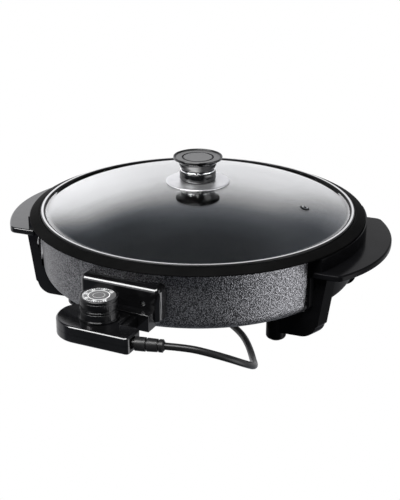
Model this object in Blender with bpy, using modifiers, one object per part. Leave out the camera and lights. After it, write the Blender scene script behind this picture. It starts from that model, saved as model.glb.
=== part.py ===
# Round electric skillet with a loose glass lid, two handles on legs and a plug-in controller.
# Metres, +Z up. The floor is z = 0, the handles lie along X and the controller faces -Y.
# Pieces are modelled round the pan's own axis, which an empty moves back along +Y, so that the
# origin is the middle of the object's box, the cord left out.

import math

import bmesh
import bpy
from mathutils import Matrix, Vector

MM = 0.001
DEG = math.pi / 180
TURN = 2 * math.pi

# Gaps, overruns and the fineness of round pieces
SEAT_GAP = 0.3 * MM
WALL_GAP = 0.6 * MM
HOLE_GAP = 0.35 * MM
OVERRUN = 3 * MM
WELD = 0.01 * MM
LARGE_STEPS = 36
KNOB_STEPS = 20
FOOT_STEPS = 16
SMALL_STEPS = 12
SCREW_STEPS = 8
ARC_STEPS = 3
CORNER_CHORD = 8 * MM
SHARP_ANGLE = 35 * DEG

# Pan: a casting with a raised floor, a skirt below it and a sloping flange
PAN_WALL_R = 194.9 * MM
PAN_SKIRT_STEP = 1.5 * MM
PAN_WALL = 4 * MM
SKIRT_WALL = 3 * MM
PAN_CORNER_R = 15 * MM
PAN_CLEARANCE = 41.3 * MM
LIP_WIDTH = 12 * MM
UNDER_FLOOR = 26.7 * MM
FLOOR_THICKNESS = 4 * MM
COOKING_DEPTH = 44.9 * MM
INNER_CORNER_R = 12 * MM
LEDGE_WIDTH = 4.7 * MM
LIP_THICKNESS = 2 * MM
LIP_HEIGHT = 4.9 * MM
FLANGE_REACH = 13.1 * MM
FLANGE_DROP = 0.9 * MM
FLANGE_EDGE = 1.9 * MM
FLANGE_ROUND = 0.6 * MM
FLANGE_ROOT_DROP = 3.4 * MM
FLANGE_ROOT_WIDTH = 2.6 * MM
FLANGE_FILLET_DROP = 5.6 * MM

# Bosses cast on the pan
SCREW_BOSS_R = 6 * MM
SCREW_BOSS_HOLE_DEPTH = 14 * MM
CENTRE_BOSS_R = 7 * MM
WALL_BOSS_R = 5 * MM
WALL_BOSS_LENGTH = 6 * MM
SENSOR_BOSS_HALF = 7 * MM
SENSOR_BOSS_DROP = 9 * MM
SENSOR_BOSS_END = 118 * MM
SLOT_HALF = 20 * MM
SLOT_UP = 5 * MM
SLOT_DOWN = 5 * MM
CLIP_HOLE_DEPTH = 3 * MM

# Base plate
BASE_PLATE_GAP = 1.4 * MM
BASE_PLATE_THICKNESS = 1 * MM

# Heating element: a keyhole loop with two cold ends
ELEMENT_TUBE_R = 4 * MM
ELEMENT_RING_R = 105 * MM
ELEMENT_BEND_R = 20 * MM
PIN_PITCH_HALF = 14 * MM
ELEMENT_END_REACH = 0.8 * MM
PIN_R = 2.4 * MM
PIN_LENGTH = 23 * MM
RING_POINTS = 36
BEND_POINTS = 4
CLIP_THICKNESS = 1.2 * MM
CLIP_WIDTH = 12 * MM
CLIP_TAB = 9 * MM
CLIP_SIDE_ROOM = 0.9 * MM
CLIP_ANGLES = (90 * DEG, 205 * DEG, 335 * DEG)

# Screws
SCREW_SHANK_R = 2 * MM
SCREW_HEAD_R = 4.2 * MM
SCREW_HEAD_HEIGHT = 2.6 * MM
SCREW_EDGE = 0.6 * MM
SMALL_SHANK_R = 1.4 * MM
SMALL_HEAD_R = 3 * MM
SMALL_HEAD_HEIGHT = 1.8 * MM
DRIVE_R = 1.3 * MM
DRIVE_DEPTH = 1 * MM

# Handles
WING_REACH = 34.7 * MM
WING_EDGE_R = 169.1 * MM
WING_HALF_WIDTH = 100 * MM
WING_CORNER_R = 11 * MM
WING_DROP = 17.2 * MM
WING_THICKNESS = 7.5 * MM
WING_ROUND = 2 * MM
WING_STEPS = 12
WING_ROOT_IN = 16.9 * MM
RISER_PROUD = 2 * MM
RISER_HALF_WIDTH = 95 * MM
RISER_DROP = 9.2 * MM
WALL_PLATE_THICKNESS = 2.5 * MM
LEG_REACH = 6 * MM
LEG_DRAW_IN = 11.5 * MM
LEG_CORNER_R = 16 * MM
LEG_BOTTOM_Z = 12.5 * MM
LEG_FRONT_Y = 90 * MM
LEG_THICKNESS = 16 * MM
WINDOW_GAP = 6.1 * MM
WINDOW_DROP = 19.7 * MM
WINDOW_SILL = 8.7 * MM
FOOT_X = 131 * MM
FOOT_Y = 80 * MM
FOOT_R = 12 * MM
FOOT_ROUND = 4 * MM
FOOT_TOP_STEP = 0.8 * MM
PAD_R = 8 * MM
PAD_HEIGHT = 3.2 * MM
PAD_PROUD = 1.2 * MM
HANDLE_SCREW_X = 151 * MM
HANDLE_SCREW_Y = 82 * MM
HANDLE_SCREW_SEAT = 13.5 * MM
HANDLE_SCREW_LENGTH = 28 * MM

# Lid
LID_ROOM = 1 * MM
LID_RIM_WIDTH = 4.7 * MM
LID_RIM_SHEET = 0.7 * MM
GASKET_SHOWS = 1.3 * MM
GASKET_SHEET = 0.5 * MM
GLASS_THICKNESS = 3.6 * MM
GLASS_FLAT = 6.6 * MM
GLASS_RISE = 33.8 * MM
GLASS_HOLE_R = 4.5 * MM
VENT_R = 138 * MM
VENT_HOLE_R = 3.6 * MM
VENT_HEAD_R = 5.5 * MM
VENT_BORE_R = 2.1 * MM
VENT_HEAD = 1.1 * MM
DOME_POINTS = 5

# Knob
BEZEL_R = 39.4 * MM
BEZEL_SHEET = 0.8 * MM
BEZEL_EDGE_HEIGHT = 1.4 * MM
BEZEL_SHOULDER_R = 24 * MM
COLLAR_R = 22.5 * MM
COLLAR_HEIGHT = 11.4 * MM
COLLAR_ROUND = 2 * MM
BAND_R = 21.6 * MM
BAND_HEIGHT = 2 * MM
CUP_BOTTOM_R = 20.3 * MM
CUP_HEIGHT = 15.8 * MM
CUP_RIM_R = 30.4 * MM
CUP_RIM_WIDTH = 1.8 * MM
CUP_FACE_DROP = 1.5 * MM
CAP_R = 18.1 * MM
CAP_GROOVE = 1.3 * MM
CAP_THICKNESS = 2.2 * MM
KNOB_SCREW_DEPTH = 6 * MM
WASHER_R = 8 * MM
WASHER_THICKNESS = 1.5 * MM

# Socket frame, turned from the handles' perpendicular, and the guard on the pan's wall
SOCKET_TURN = -4 * DEG
BLOCK_HALF_WIDTH = 51 * MM
BLOCK_UNDER = 6.7 * MM
BLOCK_DROP = 15.9 * MM
BLOCK_REACH = 11.1 * MM
BLOCK_ROUND = 6.5 * MM
SHROUD_WALL = 3.2 * MM
SHROUD_SIDE = 13.7 * MM
SHROUD_REACH = 13.4 * MM
WEB_THICKNESS = 3.6 * MM
BLOCK_SCREW_X = 30 * MM
BLOCK_SCREW_RISE = 16.3 * MM
BLOCK_SCREW_SEAT = 3.2 * MM
BLOCK_SCREW_LENGTH = 8 * MM

# Controller
CONTROLLER_LEFT = 52.5 * MM
CONTROLLER_RIGHT = 50.4 * MM
CONTROLLER_DEPTH = 57.8 * MM
CONTROLLER_STEP = 28.5 * MM
CONTROLLER_STEP_X = 24 * MM
CONTROLLER_HEIGHT = 20 * MM
CONTROLLER_STANDOFF = 1 * MM
CONTROLLER_WALL = 2.4 * MM
CONTROLLER_ROUND = 2 * MM
CONTROLLER_LEFT_R = 34 * MM
CONTROLLER_LEFT_BACK_R = 21 * MM
CONTROLLER_RIGHT_R = 5 * MM
NOSE_HALF_WIDTH = 30 * MM
NOSE_HEIGHT = 13 * MM
NOSE_END_GAP = 1 * MM
SLEEVE_WALL = 1.1 * MM
SLEEVE_LENGTH = 26 * MM
PROBE_R = 3 * MM
PROBE_REACH = 70 * MM
SWITCH_HALF = 13 * MM
SWITCH_HALF_DEPTH = 11 * MM
SWITCH_HEIGHT = 10 * MM
SWITCH_POST_R = 4 * MM
SWITCH_POST_HEIGHT = 1.5 * MM
HOUSING_SCREW_SEAT = 1.6 * MM
HOUSING_POST_R = 3.4 * MM
HOUSING_SCREW_LENGTH = 12 * MM
HOUSING_SCREW_INSET = 14 * MM
HOUSING_SCREW_RIGHT_INSET = 19.4 * MM

# Dial
DIAL_SETBACK = 34.6 * MM
DIAL_X = -3.2 * MM
DIAL_R = 21.4 * MM
DIAL_HEIGHT = 26 * MM
DIAL_BASE_HEIGHT = 2.2 * MM
DIAL_BASE_EXTRA = 1 * MM
DIAL_GROOVE = 1.1 * MM
DIAL_RIB = 1.4 * MM
DIAL_RIM_HEIGHT = 2.6 * MM
DIAL_BEVEL = 0.8 * MM
DIAL_PLATE_R = 18.6 * MM
DIAL_PLATE_THICKNESS = 0.8 * MM
DIAL_FACE_DROP = 0.3 * MM
DIAL_BORE_TOP = 6 * MM
SHAFT_R = 3 * MM

# Strain relief and cord
RELIEF_SETBACK = 11.9 * MM
RELIEF_TURN = 14 * DEG
RELIEF_LENGTH = 34 * MM
RELIEF_R = 7.75 * MM
RELIEF_END_R = 7.1 * MM
RELIEF_GROOVE = 1.5 * MM
RELIEF_NECK_R = 5 * MM
RELIEF_FLANGE_R = 6.8 * MM
RELIEF_FLANGE = 3.3 * MM
RELIEF_RIB_SHARE = 0.36
CORD_R = 4 * MM
CORD_POINTS_PER_LEG = 2
COIL_TURNS = 3.5
COIL_START_R = 49.5 * MM
COIL_PITCH = 8.8 * MM
COIL_CLIMB_TURNS = 0.5
COIL_POINTS_PER_TURN = 18
COIL_CENTRE = (-40 * MM, 46.4 * MM)
FLOOR_GAP = 0.05 * MM

# Plug
PLUG_LENGTH = 38 * MM
PLUG_WIDTH = 26 * MM
PLUG_ROUND = 4 * MM
PLUG_X = 25 * MM
PLUG_RELIEF_LENGTH = 18 * MM
PLUG_RELIEF_R = 7.5 * MM
PLUG_RELIEF_TIP_R = 5.4 * MM
BLADE_WIDTH = 6.35 * MM
BLADE_THICKNESS = 1.5 * MM
BLADE_LENGTH = 17 * MM
BLADE_PITCH_HALF = 6.35 * MM
BLADE_RISE = 5.5 * MM
BLADE_SEAT = 6 * MM
EARTH_R = 2.4 * MM
EARTH_LENGTH = 20.5 * MM
EARTH_DROP = 6.4 * MM

# Heights and radii that follow from the sizes above
FLOOR_UNDER_Z = PAN_CLEARANCE + UNDER_FLOOR
FLOOR_TOP_Z = FLOOR_UNDER_Z + FLOOR_THICKNESS
LEDGE_Z = FLOOR_TOP_Z + COOKING_DEPTH
PAN_INNER_R = PAN_WALL_R - PAN_WALL
PAN_SKIRT_R = PAN_WALL_R - PAN_SKIRT_STEP
FLANGE_R = PAN_WALL_R + FLANGE_REACH
LEDGE_R = PAN_INNER_R + LEDGE_WIDTH
LIP_TOP_Z = LEDGE_Z + LIP_HEIGHT
FLANGE_LOW_Z = LEDGE_Z - FLANGE_DROP
FLANGE_TOP_Z = FLANGE_LOW_Z + FLANGE_EDGE
WALL_TOP_Z = LEDGE_Z - FLANGE_FILLET_DROP
LIP_EDGE_R = PAN_SKIRT_R - PAN_CORNER_R - LIP_WIDTH
CORNER_CENTRE_R = PAN_SKIRT_R - PAN_CORNER_R
CORNER_CENTRE_Z = PAN_CLEARANCE + PAN_CORNER_R
BASE_PLATE_R = CORNER_CENTRE_R - BASE_PLATE_GAP
PLUG_IN_Z = FLOOR_UNDER_Z - SEAT_GAP - ELEMENT_TUBE_R
BASE_PLATE_TOP_Z = PAN_CLEARANCE - SEAT_GAP
BASE_PLATE_LOW_Z = BASE_PLATE_TOP_Z - BASE_PLATE_THICKNESS
ARM_TOP_Z = BASE_PLATE_LOW_Z - SEAT_GAP
POST_LOW_Z = PAD_PROUD
HANDLE_REACH = FLANGE_R + WING_REACH
WING_ROOT_X = PAN_WALL_R - WING_ROOT_IN
WING_TOP_Z = LEDGE_Z - WING_DROP
RISER_R = FLANGE_R + RISER_PROUD
LEG_OUTER_TOP_R = FLANGE_R + LEG_REACH
LEG_OUTER_FOOT_R = LEG_OUTER_TOP_R - LEG_DRAW_IN
WINDOW_TOP_R = PAN_WALL_R + WINDOW_GAP
WINDOW_TOP_Z = WING_TOP_Z - WINDOW_DROP
WINDOW_BOTTOM_Z = PAN_CLEARANCE + WINDOW_SILL
LID_RIM_R = LEDGE_R - LID_ROOM
LID_RIM_INNER_R = LID_RIM_R - LID_RIM_WIDTH
GASKET_INNER_R = LID_RIM_INNER_R - GASKET_SHOWS
RIM_LOW_Z = LEDGE_Z + SEAT_GAP
GASKET_LOW_Z = RIM_LOW_Z + LID_RIM_SHEET + SEAT_GAP
GLASS_EDGE_LOW_Z = GASKET_LOW_Z + GASKET_SHEET + SEAT_GAP
GLASS_EDGE_TOP_Z = GLASS_EDGE_LOW_Z + GLASS_THICKNESS
GASKET_TOP_Z = GLASS_EDGE_TOP_Z + SEAT_GAP + GASKET_SHEET
RIM_TOP_Z = GASKET_TOP_Z + SEAT_GAP + LID_RIM_SHEET
GASKET_OUTER_R = LID_RIM_R - LID_RIM_SHEET - SEAT_GAP
GLASS_R = GASKET_OUTER_R - GASKET_SHEET - SEAT_GAP
DOME_R = GLASS_R - GLASS_FLAT
DOME_BALL_R = (DOME_R**2 + GLASS_RISE**2) / (2 * GLASS_RISE)
GLASS_TOP_Z = GLASS_EDGE_TOP_Z + GLASS_RISE
BLOCK_BOTTOM_Z = PLUG_IN_Z - BLOCK_UNDER
BLOCK_TOP_Z = LEDGE_Z - BLOCK_DROP
BLOCK_SCREW_Z = PLUG_IN_Z + BLOCK_SCREW_RISE
BLOCK_FACE_Y = -(PAN_WALL_R + BLOCK_REACH)
WEB_FACE_Y = -(PAN_WALL_R + WALL_GAP + WEB_THICKNESS)
SHROUD_END_Y = BLOCK_FACE_Y - SHROUD_REACH
CONTROLLER_BACK_Y = SHROUD_END_Y - CONTROLLER_STANDOFF
CONTROLLER_FRONT_Y = CONTROLLER_BACK_Y - CONTROLLER_DEPTH
CONTROLLER_STEP_Y = CONTROLLER_BACK_Y - CONTROLLER_STEP
NOSE_END_Y = WEB_FACE_Y - NOSE_END_GAP
DIAL_Y = CONTROLLER_FRONT_Y + DIAL_SETBACK
RELIEF_Y = CONTROLLER_FRONT_Y + RELIEF_SETBACK
RELIEF_START = RELIEF_R * math.tan(RELIEF_TURN) + SEAT_GAP
RELIEF_FLANGE_AT = RELIEF_FLANGE_R * math.tan(RELIEF_TURN) + CONTROLLER_WALL + 2 * SEAT_GAP
FRONT_CORNER_X = CONTROLLER_RIGHT - CONTROLLER_RIGHT_R
FRONT_CORNER_Y = CONTROLLER_FRONT_Y + CONTROLLER_RIGHT_R
FRONT_REACH = (
    CONTROLLER_RIGHT_R
    - FRONT_CORNER_X * math.sin(SOCKET_TURN)
    - FRONT_CORNER_Y * math.cos(SOCKET_TURN)
)
PAN_Y = (FRONT_REACH - FLANGE_R) / 2

# The cord's free stretches, in the object's own frame, chosen by hand
LEAD_ROUTE = (
    (0.0654, -0.2268, 0.0637),
    (0.0811, -0.2240, 0.0636),
    (0.0970, -0.2209, 0.0625),
    (0.1140, -0.2151, 0.0580),
    (0.1290, -0.2036, 0.0495),
    (0.1385, -0.1876, 0.0385),
    (0.1415, -0.1696, 0.0275),
    (0.1395, -0.1516, 0.0178),
    (0.1340, -0.1336, 0.0100),
    (0.1265, -0.1156, 0.0055),
    (0.1180, -0.0976, 0.0041),
    (0.1080, -0.0796, 0.0041),
    (0.0960, -0.0616, 0.0041),
    (0.0815, -0.0456, 0.0041),
    (0.0640, -0.0311, 0.0041),
    (0.0440, -0.0191, 0.0041),
    (0.0215, -0.0101, 0.0041),
    (-0.0030, -0.0047, 0.0041),
    (-0.0210, -0.0033, 0.00405),
    (-0.0317, -0.0031, 0.00405),
)
TAIL_ROUTE = (
    (-0.0317, 0.0959, 0.01285),
    (-0.0230, 0.0960, 0.0127),
    (-0.0120, 0.0963, 0.0124),
    (-0.0010, 0.0965, 0.0126),
    (0.0067, 0.0965, 0.0130),
)


def clear_scene():
    for obj in list(bpy.data.objects):
        bpy.data.objects.remove(obj)


def make_collection(name, hidden=False):
    collection = bpy.data.collections.new(name)
    bpy.context.scene.collection.children.link(collection)
    collection.hide_render = hidden
    return collection


clear_scene()
PARTS = make_collection("electric_skillet")
CUTTERS = make_collection("cutters", hidden=True)


def make_material(name, colour, roughness, metallic=0.0):
    material = bpy.data.materials.new(name)
    material.use_nodes = True
    shader = material.node_tree.nodes["Principled BSDF"]
    shader.inputs["Base Color"].default_value = (*colour, 1.0)
    shader.inputs["Roughness"].default_value = roughness
    shader.inputs["Metallic"].default_value = metallic
    return material


HAMMERTONE = make_material("hammertone_paint", (0.16, 0.16, 0.17), 0.35, 0.6)
BAKELITE = make_material("bakelite", (0.012, 0.012, 0.013), 0.22)
KNOB_BLACK = make_material("knob_black", (0.012, 0.012, 0.013), 0.18)
CHROME = make_material("chrome", (0.8, 0.8, 0.82), 0.06, 1.0)
STEEL = make_material("steel", (0.55, 0.55, 0.56), 0.3, 1.0)
GLASS = make_material("lid_glass", (0.35, 0.38, 0.4), 0.05)
RUBBER = make_material("rubber", (0.015, 0.015, 0.016), 0.6)
CORD_BLACK = make_material("cord_black", (0.015, 0.015, 0.016), 0.4)
BRASS = make_material("brass", (0.72, 0.55, 0.25), 0.3, 1.0)
DIAL_GREY = make_material("dial_grey", (0.3, 0.3, 0.31), 0.4, 0.2)
CERAMIC = make_material("ceramic", (0.75, 0.72, 0.66), 0.5)
ELEMENT_STEEL = make_material("element_steel", (0.22, 0.22, 0.2), 0.45, 1.0)
BASE_STEEL = make_material("base_steel", (0.5, 0.5, 0.5), 0.4, 1.0)


def make_empty(name, parent=None, location=(0, 0, 0), turn=0.0):
    empty = bpy.data.objects.new(name, None)
    PARTS.objects.link(empty)
    empty.location = location
    empty.rotation_euler = (0, 0, turn)
    empty.parent = parent
    return empty


PAN_AXIS = make_empty("pan_axis", location=(0, PAN_Y, 0))
SOCKET_AXIS = make_empty("socket_axis", PAN_AXIS, turn=SOCKET_TURN)
LID_AXIS = make_empty("lid_axis", PAN_AXIS)
PROBE_AXIS = make_empty("probe_axis", SOCKET_AXIS, (0, 0, PLUG_IN_Z))
DIAL_AXIS = make_empty("dial_axis", PROBE_AXIS, (DIAL_X, DIAL_Y, 0))


def place(obj, parent, material=None):
    """Puts a solid under its axis: a piece with a material, or a cutter without one."""
    if material is None:
        CUTTERS.objects.link(obj)
        obj.hide_render = True
        obj.display_type = "WIRE"
    else:
        PARTS.objects.link(obj)
        obj.data.materials.clear()
        obj.data.materials.append(material)
    obj.parent = parent
    return obj


def turned(name, profile, steps, closed=False):
    """A profile in (radius, height), down its outer side, turned about Z."""
    mesh = bpy.data.meshes.new(name)
    edges = [(i, i + 1) for i in range(len(profile) - 1)]
    if closed:
        edges.append((len(profile) - 1, 0))
    mesh.from_pydata([(r, 0, z) for r, z in profile], edges, [])
    obj = bpy.data.objects.new(name, mesh)
    screw = obj.modifiers.new("Turn", "SCREW")
    screw.axis = "Z"
    screw.angle = TURN
    screw.steps = steps
    screw.render_steps = steps
    screw.use_merge_vertices = True
    screw.merge_threshold = WELD
    screw.use_smooth_shade = True
    return obj


def mesh_object(name, bm):
    mesh = bpy.data.meshes.new(name)
    bm.to_mesh(mesh)
    bm.free()
    return bpy.data.objects.new(name, mesh)


def boxes(name, corners):
    """Separate boxes between pairs of opposite corners, as one mesh."""
    bm = bmesh.new()
    for one, other in corners:
        size = [abs(a - b) for a, b in zip(one, other)]
        middle = (Vector(one) + Vector(other)) / 2
        bmesh.ops.create_cube(bm, size=1.0, matrix=Matrix.Translation(middle) @ Matrix.Diagonal((*size, 1)))
    return mesh_object(name, bm)


def box(name, one, other):
    return boxes(name, [(one, other)])


def rods(name, radius, steps, ends):
    """Straight cylinders between pairs of points, as one cutter or one set."""
    bm = bmesh.new()
    for start, end in ends:
        axis = Vector(end) - Vector(start)
        turn = Vector((0, 0, 1)).rotation_difference(axis).to_matrix().to_4x4()
        middle = Matrix.Translation((Vector(start) + Vector(end)) / 2)
        bmesh.ops.create_cone(
            bm,
            cap_ends=True,
            segments=steps,
            radius1=radius,
            radius2=radius,
            depth=axis.length,
            matrix=middle @ turn,
        )
    return mesh_object(name, bm)


def arc(centre, radius, start, end, steps):
    angles = [start + (end - start) * i / steps for i in range(steps + 1)]
    return [(centre[0] + radius * math.cos(a), centre[1] + radius * math.sin(a)) for a in angles]


def rounded(corners):
    """Corners (x, y, radius), counterclockwise, as an outline with an arc at each, hollow or full."""
    points = []
    for i, (x, y, radius) in enumerate(corners):
        here = Vector((x, y))
        before = (Vector(corners[i - 1][:2]) - here).normalized()
        after = (Vector(corners[(i + 1) % len(corners)][:2]) - here).normalized()
        half = before.angle(after) / 2
        centre = here + (before + after).normalized() * (radius / math.sin(half))
        start = here + before * (radius / math.tan(half)) - centre
        sweep = math.copysign(math.pi - 2 * half, after.cross(before))
        steps = 2 + round(radius / CORNER_CHORD)
        for k in range(steps + 1):
            turn = Matrix.Rotation(sweep * k / steps, 2)
            points.append(tuple(centre + turn @ start))
    return points


def plate(name, outline, low, high, matrix=None):
    """A flat outline as a filled 2D curve, extruded between two heights and made a mesh."""
    curve = bpy.data.curves.new(name, "CURVE")
    curve.dimensions = "2D"
    curve.fill_mode = "BOTH"
    curve.extrude = (high - low) / 2
    spline = curve.splines.new("POLY")
    spline.points.add(len(outline) - 1)
    for point, (x, y) in zip(spline.points, outline):
        point.co = (x, y, 0, 1)
    spline.use_cyclic_u = True
    lift = Matrix.Translation((0, 0, (low + high) / 2))
    return solid_from_curve(name, curve, lift if matrix is None else matrix @ lift)


def solid_from_curve(name, curve, matrix):
    """A curve as a mesh object with its caps welded on, its points moved by the matrix."""
    guide = bpy.data.objects.new(name + "_curve", curve)
    bpy.context.scene.collection.objects.link(guide)
    graph = bpy.context.evaluated_depsgraph_get()
    mesh = bpy.data.meshes.new_from_object(guide.evaluated_get(graph))
    bpy.data.objects.remove(guide)
    bm = bmesh.new()
    bm.from_mesh(mesh)
    bmesh.ops.remove_doubles(bm, verts=bm.verts, dist=WELD)
    bmesh.ops.transform(bm, matrix=matrix, verts=bm.verts)
    bmesh.ops.recalc_face_normals(bm, faces=bm.faces)
    bm.to_mesh(mesh)
    bm.free()
    return bpy.data.objects.new(name, mesh)


def tube_curve(name, points, radius, resolution):
    """A wire along points, as a curve object with filled caps."""
    curve = bpy.data.curves.new(name, "CURVE")
    curve.dimensions = "3D"
    curve.bevel_depth = radius
    curve.bevel_resolution = resolution
    curve.use_fill_caps = True
    spline = curve.splines.new("POLY")
    spline.points.add(len(points) - 1)
    for point, co in zip(spline.points, points):
        point.co = (*co, 1)
    return bpy.data.objects.new(name, curve)


def soften(obj, width, segments=2):
    bevel = obj.modifiers.new("Round", "BEVEL")
    bevel.width = width
    bevel.segments = segments
    bevel.limit_method = "ANGLE"
    bevel.angle_limit = SHARP_ANGLE
    return obj


def combine(obj, other, operation):
    boolean = obj.modifiers.new(other.name, "BOOLEAN")
    boolean.operation = operation
    boolean.object = other
    boolean.solver = "EXACT"


def cut(obj, *cutters):
    for cutter in cutters:
        combine(obj, cutter, "DIFFERENCE")


def join(obj, *others):
    for other in others:
        combine(obj, other, "UNION")


def baked(obj):
    """The evaluated mesh of a piece, for copies of it to share."""
    bpy.context.view_layer.update()
    graph = bpy.context.evaluated_depsgraph_get()
    return bpy.data.meshes.new_from_object(obj.evaluated_get(graph))


def dome_z(r):
    """Height of the glass's upper face at a radius."""
    return GLASS_TOP_Z - DOME_BALL_R + math.sqrt(DOME_BALL_R**2 - r**2)


# Pan


def pan_profile():
    flange_in = LEDGE_R + LIP_THICKNESS
    points = [(0, FLOOR_TOP_Z)]
    inner_centre = (PAN_INNER_R - INNER_CORNER_R, FLOOR_TOP_Z + INNER_CORNER_R)
    points += arc(inner_centre, INNER_CORNER_R, -math.pi / 2, 0, ARC_STEPS)
    points += [
        (PAN_INNER_R, LEDGE_Z),
        (LEDGE_R, LEDGE_Z),
        (LEDGE_R, LIP_TOP_Z - LIP_THICKNESS / 4),
        (LEDGE_R + LIP_THICKNESS / 4, LIP_TOP_Z),
        (flange_in, LIP_TOP_Z),
        (FLANGE_R - FLANGE_ROUND, FLANGE_TOP_Z),
        (FLANGE_R, FLANGE_TOP_Z - FLANGE_ROUND),
        (FLANGE_R, FLANGE_LOW_Z + FLANGE_ROUND),
        (FLANGE_R - FLANGE_ROUND, FLANGE_LOW_Z),
        (PAN_WALL_R + FLANGE_ROOT_WIDTH, LEDGE_Z - FLANGE_ROOT_DROP),
        (PAN_WALL_R, WALL_TOP_Z),
    ]
    corner = (CORNER_CENTRE_R, CORNER_CENTRE_Z)
    points += arc(corner, PAN_CORNER_R, 0, -math.pi / 2, ARC_STEPS)
    points += [(LIP_EDGE_R, PAN_CLEARANCE), (LIP_EDGE_R, PAN_CLEARANCE + SKIRT_WALL)]
    points += arc(corner, PAN_CORNER_R - SKIRT_WALL, -math.pi / 2, 0, ARC_STEPS - 1)
    points += [(PAN_SKIRT_R - SKIRT_WALL, FLOOR_UNDER_Z), (0, FLOOR_UNDER_Z)]
    return points


def mirrored_places(x, y):
    return [(x, y), (-x, y), (-x, -y), (x, -y)]


def pan_cutter_profile():
    """The space that pieces on the wall leave for the pan, with the wall gap."""
    top = LEDGE_Z - FLANGE_FILLET_DROP
    wall = PAN_WALL_R + WALL_GAP
    corner = (CORNER_CENTRE_R, CORNER_CENTRE_Z)
    points = [(0, top), (wall, top)]
    points += arc(corner, PAN_CORNER_R + WALL_GAP, 0, -math.pi / 2, ARC_STEPS)
    points += [(0, CORNER_CENTRE_Z - PAN_CORNER_R - WALL_GAP)]
    return points


def make_pan():
    pan = place(turned("pan_body", pan_profile(), LARGE_STEPS), PAN_AXIS, HAMMERTONE)
    into_floor = FLOOR_UNDER_Z + FLOOR_THICKNESS / 2
    places = mirrored_places(HANDLE_SCREW_X, HANDLE_SCREW_Y)
    posts = [((x, y, PAN_CLEARANCE + SEAT_GAP), (x, y, into_floor)) for x, y in places]
    handle_bosses = place(rods("handle_bosses", SCREW_BOSS_R, SMALL_STEPS, posts), PAN_AXIS)
    centre = [((0, 0, PAN_CLEARANCE), (0, 0, into_floor))]
    centre_boss = place(rods("centre_boss", CENTRE_BOSS_R, SMALL_STEPS, centre), PAN_AXIS)
    boss_end = BLOCK_FACE_Y + BLOCK_REACH - WALL_BOSS_LENGTH
    wall_ends = [
        ((x, -PAN_WALL_R + PAN_WALL / 2 + boss_sag(x), BLOCK_SCREW_Z), (x, boss_end, BLOCK_SCREW_Z))
        for x in (-BLOCK_SCREW_X, BLOCK_SCREW_X)
    ]
    wall_bosses = place(rods("wall_bosses", WALL_BOSS_R, SMALL_STEPS, wall_ends), SOCKET_AXIS)
    sensor_boss = box(
        "sensor_boss",
        (-SENSOR_BOSS_HALF, -PAN_SKIRT_R + SKIRT_WALL / 2, FLOOR_UNDER_Z - SENSOR_BOSS_DROP),
        (SENSOR_BOSS_HALF, -SENSOR_BOSS_END, into_floor),
    )
    join(pan, handle_bosses, centre_boss, wall_bosses, place(sensor_boss, SOCKET_AXIS))

    hole_r = SCREW_SHANK_R + HOLE_GAP
    blind_top = PAN_CLEARANCE + SCREW_BOSS_HOLE_DEPTH
    holes = [((x, y, PAN_CLEARANCE - OVERRUN), (x, y, blind_top)) for x, y in [*places, (0, 0)]]
    cut(pan, place(rods("base_holes", hole_r, SMALL_STEPS, holes), PAN_AXIS))
    small_r = SMALL_SHANK_R + HOLE_GAP
    clip_holes = [
        ((x, y, FLOOR_UNDER_Z - OVERRUN), (x, y, FLOOR_UNDER_Z + CLIP_HOLE_DEPTH))
        for x, y in clip_screw_places()
    ]
    cut(pan, place(rods("clip_holes", small_r, SMALL_STEPS, clip_holes), PAN_AXIS))
    hole_end = -PAN_WALL_R + boss_sag(BLOCK_SCREW_X) + PAN_WALL / 4
    wall_holes = [
        ((x, boss_end - OVERRUN, BLOCK_SCREW_Z), (x, hole_end, BLOCK_SCREW_Z))
        for x in (-BLOCK_SCREW_X, BLOCK_SCREW_X)
    ]
    cut(pan, place(rods("wall_holes", small_r, SMALL_STEPS, wall_holes), SOCKET_AXIS))
    slot = box(
        "terminal_slot",
        (-SLOT_HALF, -PAN_SKIRT_R - OVERRUN, PLUG_IN_Z - SLOT_DOWN),
        (SLOT_HALF, -PAN_SKIRT_R + SKIRT_WALL + OVERRUN, PLUG_IN_Z + SLOT_UP),
    )
    bore = [((0, -PAN_SKIRT_R - OVERRUN, PLUG_IN_Z), (0, -SENSOR_BOSS_END + OVERRUN, PLUG_IN_Z))]
    sensor_bore = rods("sensor_bore", PROBE_R + HOLE_GAP, SMALL_STEPS, bore)
    cut(pan, place(slot, SOCKET_AXIS), place(sensor_bore, SOCKET_AXIS))


def boss_sag(x):
    """How far the round wall falls back at a distance from the socket's axis."""
    return PAN_WALL_R - math.sqrt(PAN_WALL_R**2 - x**2)


def screw_profile(shank_r, head_r, head, length):
    """A screw with its head at z = 0 to head, pointing up, turned in one piece."""
    return [
        (0, head + length),
        (shank_r, head + length),
        (shank_r, head),
        (head_r, head),
        (head_r, 0),
        (DRIVE_R, 0),
        (DRIVE_R, DRIVE_DEPTH),
        (0, DRIVE_DEPTH),
    ]


def make_screw(name, profile, parent, location, turn=None):
    screw = place(turned(name, profile, SCREW_STEPS), parent, STEEL)
    screw.location = location
    if turn is not None:
        screw.rotation_euler = turn
    return screw


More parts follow.
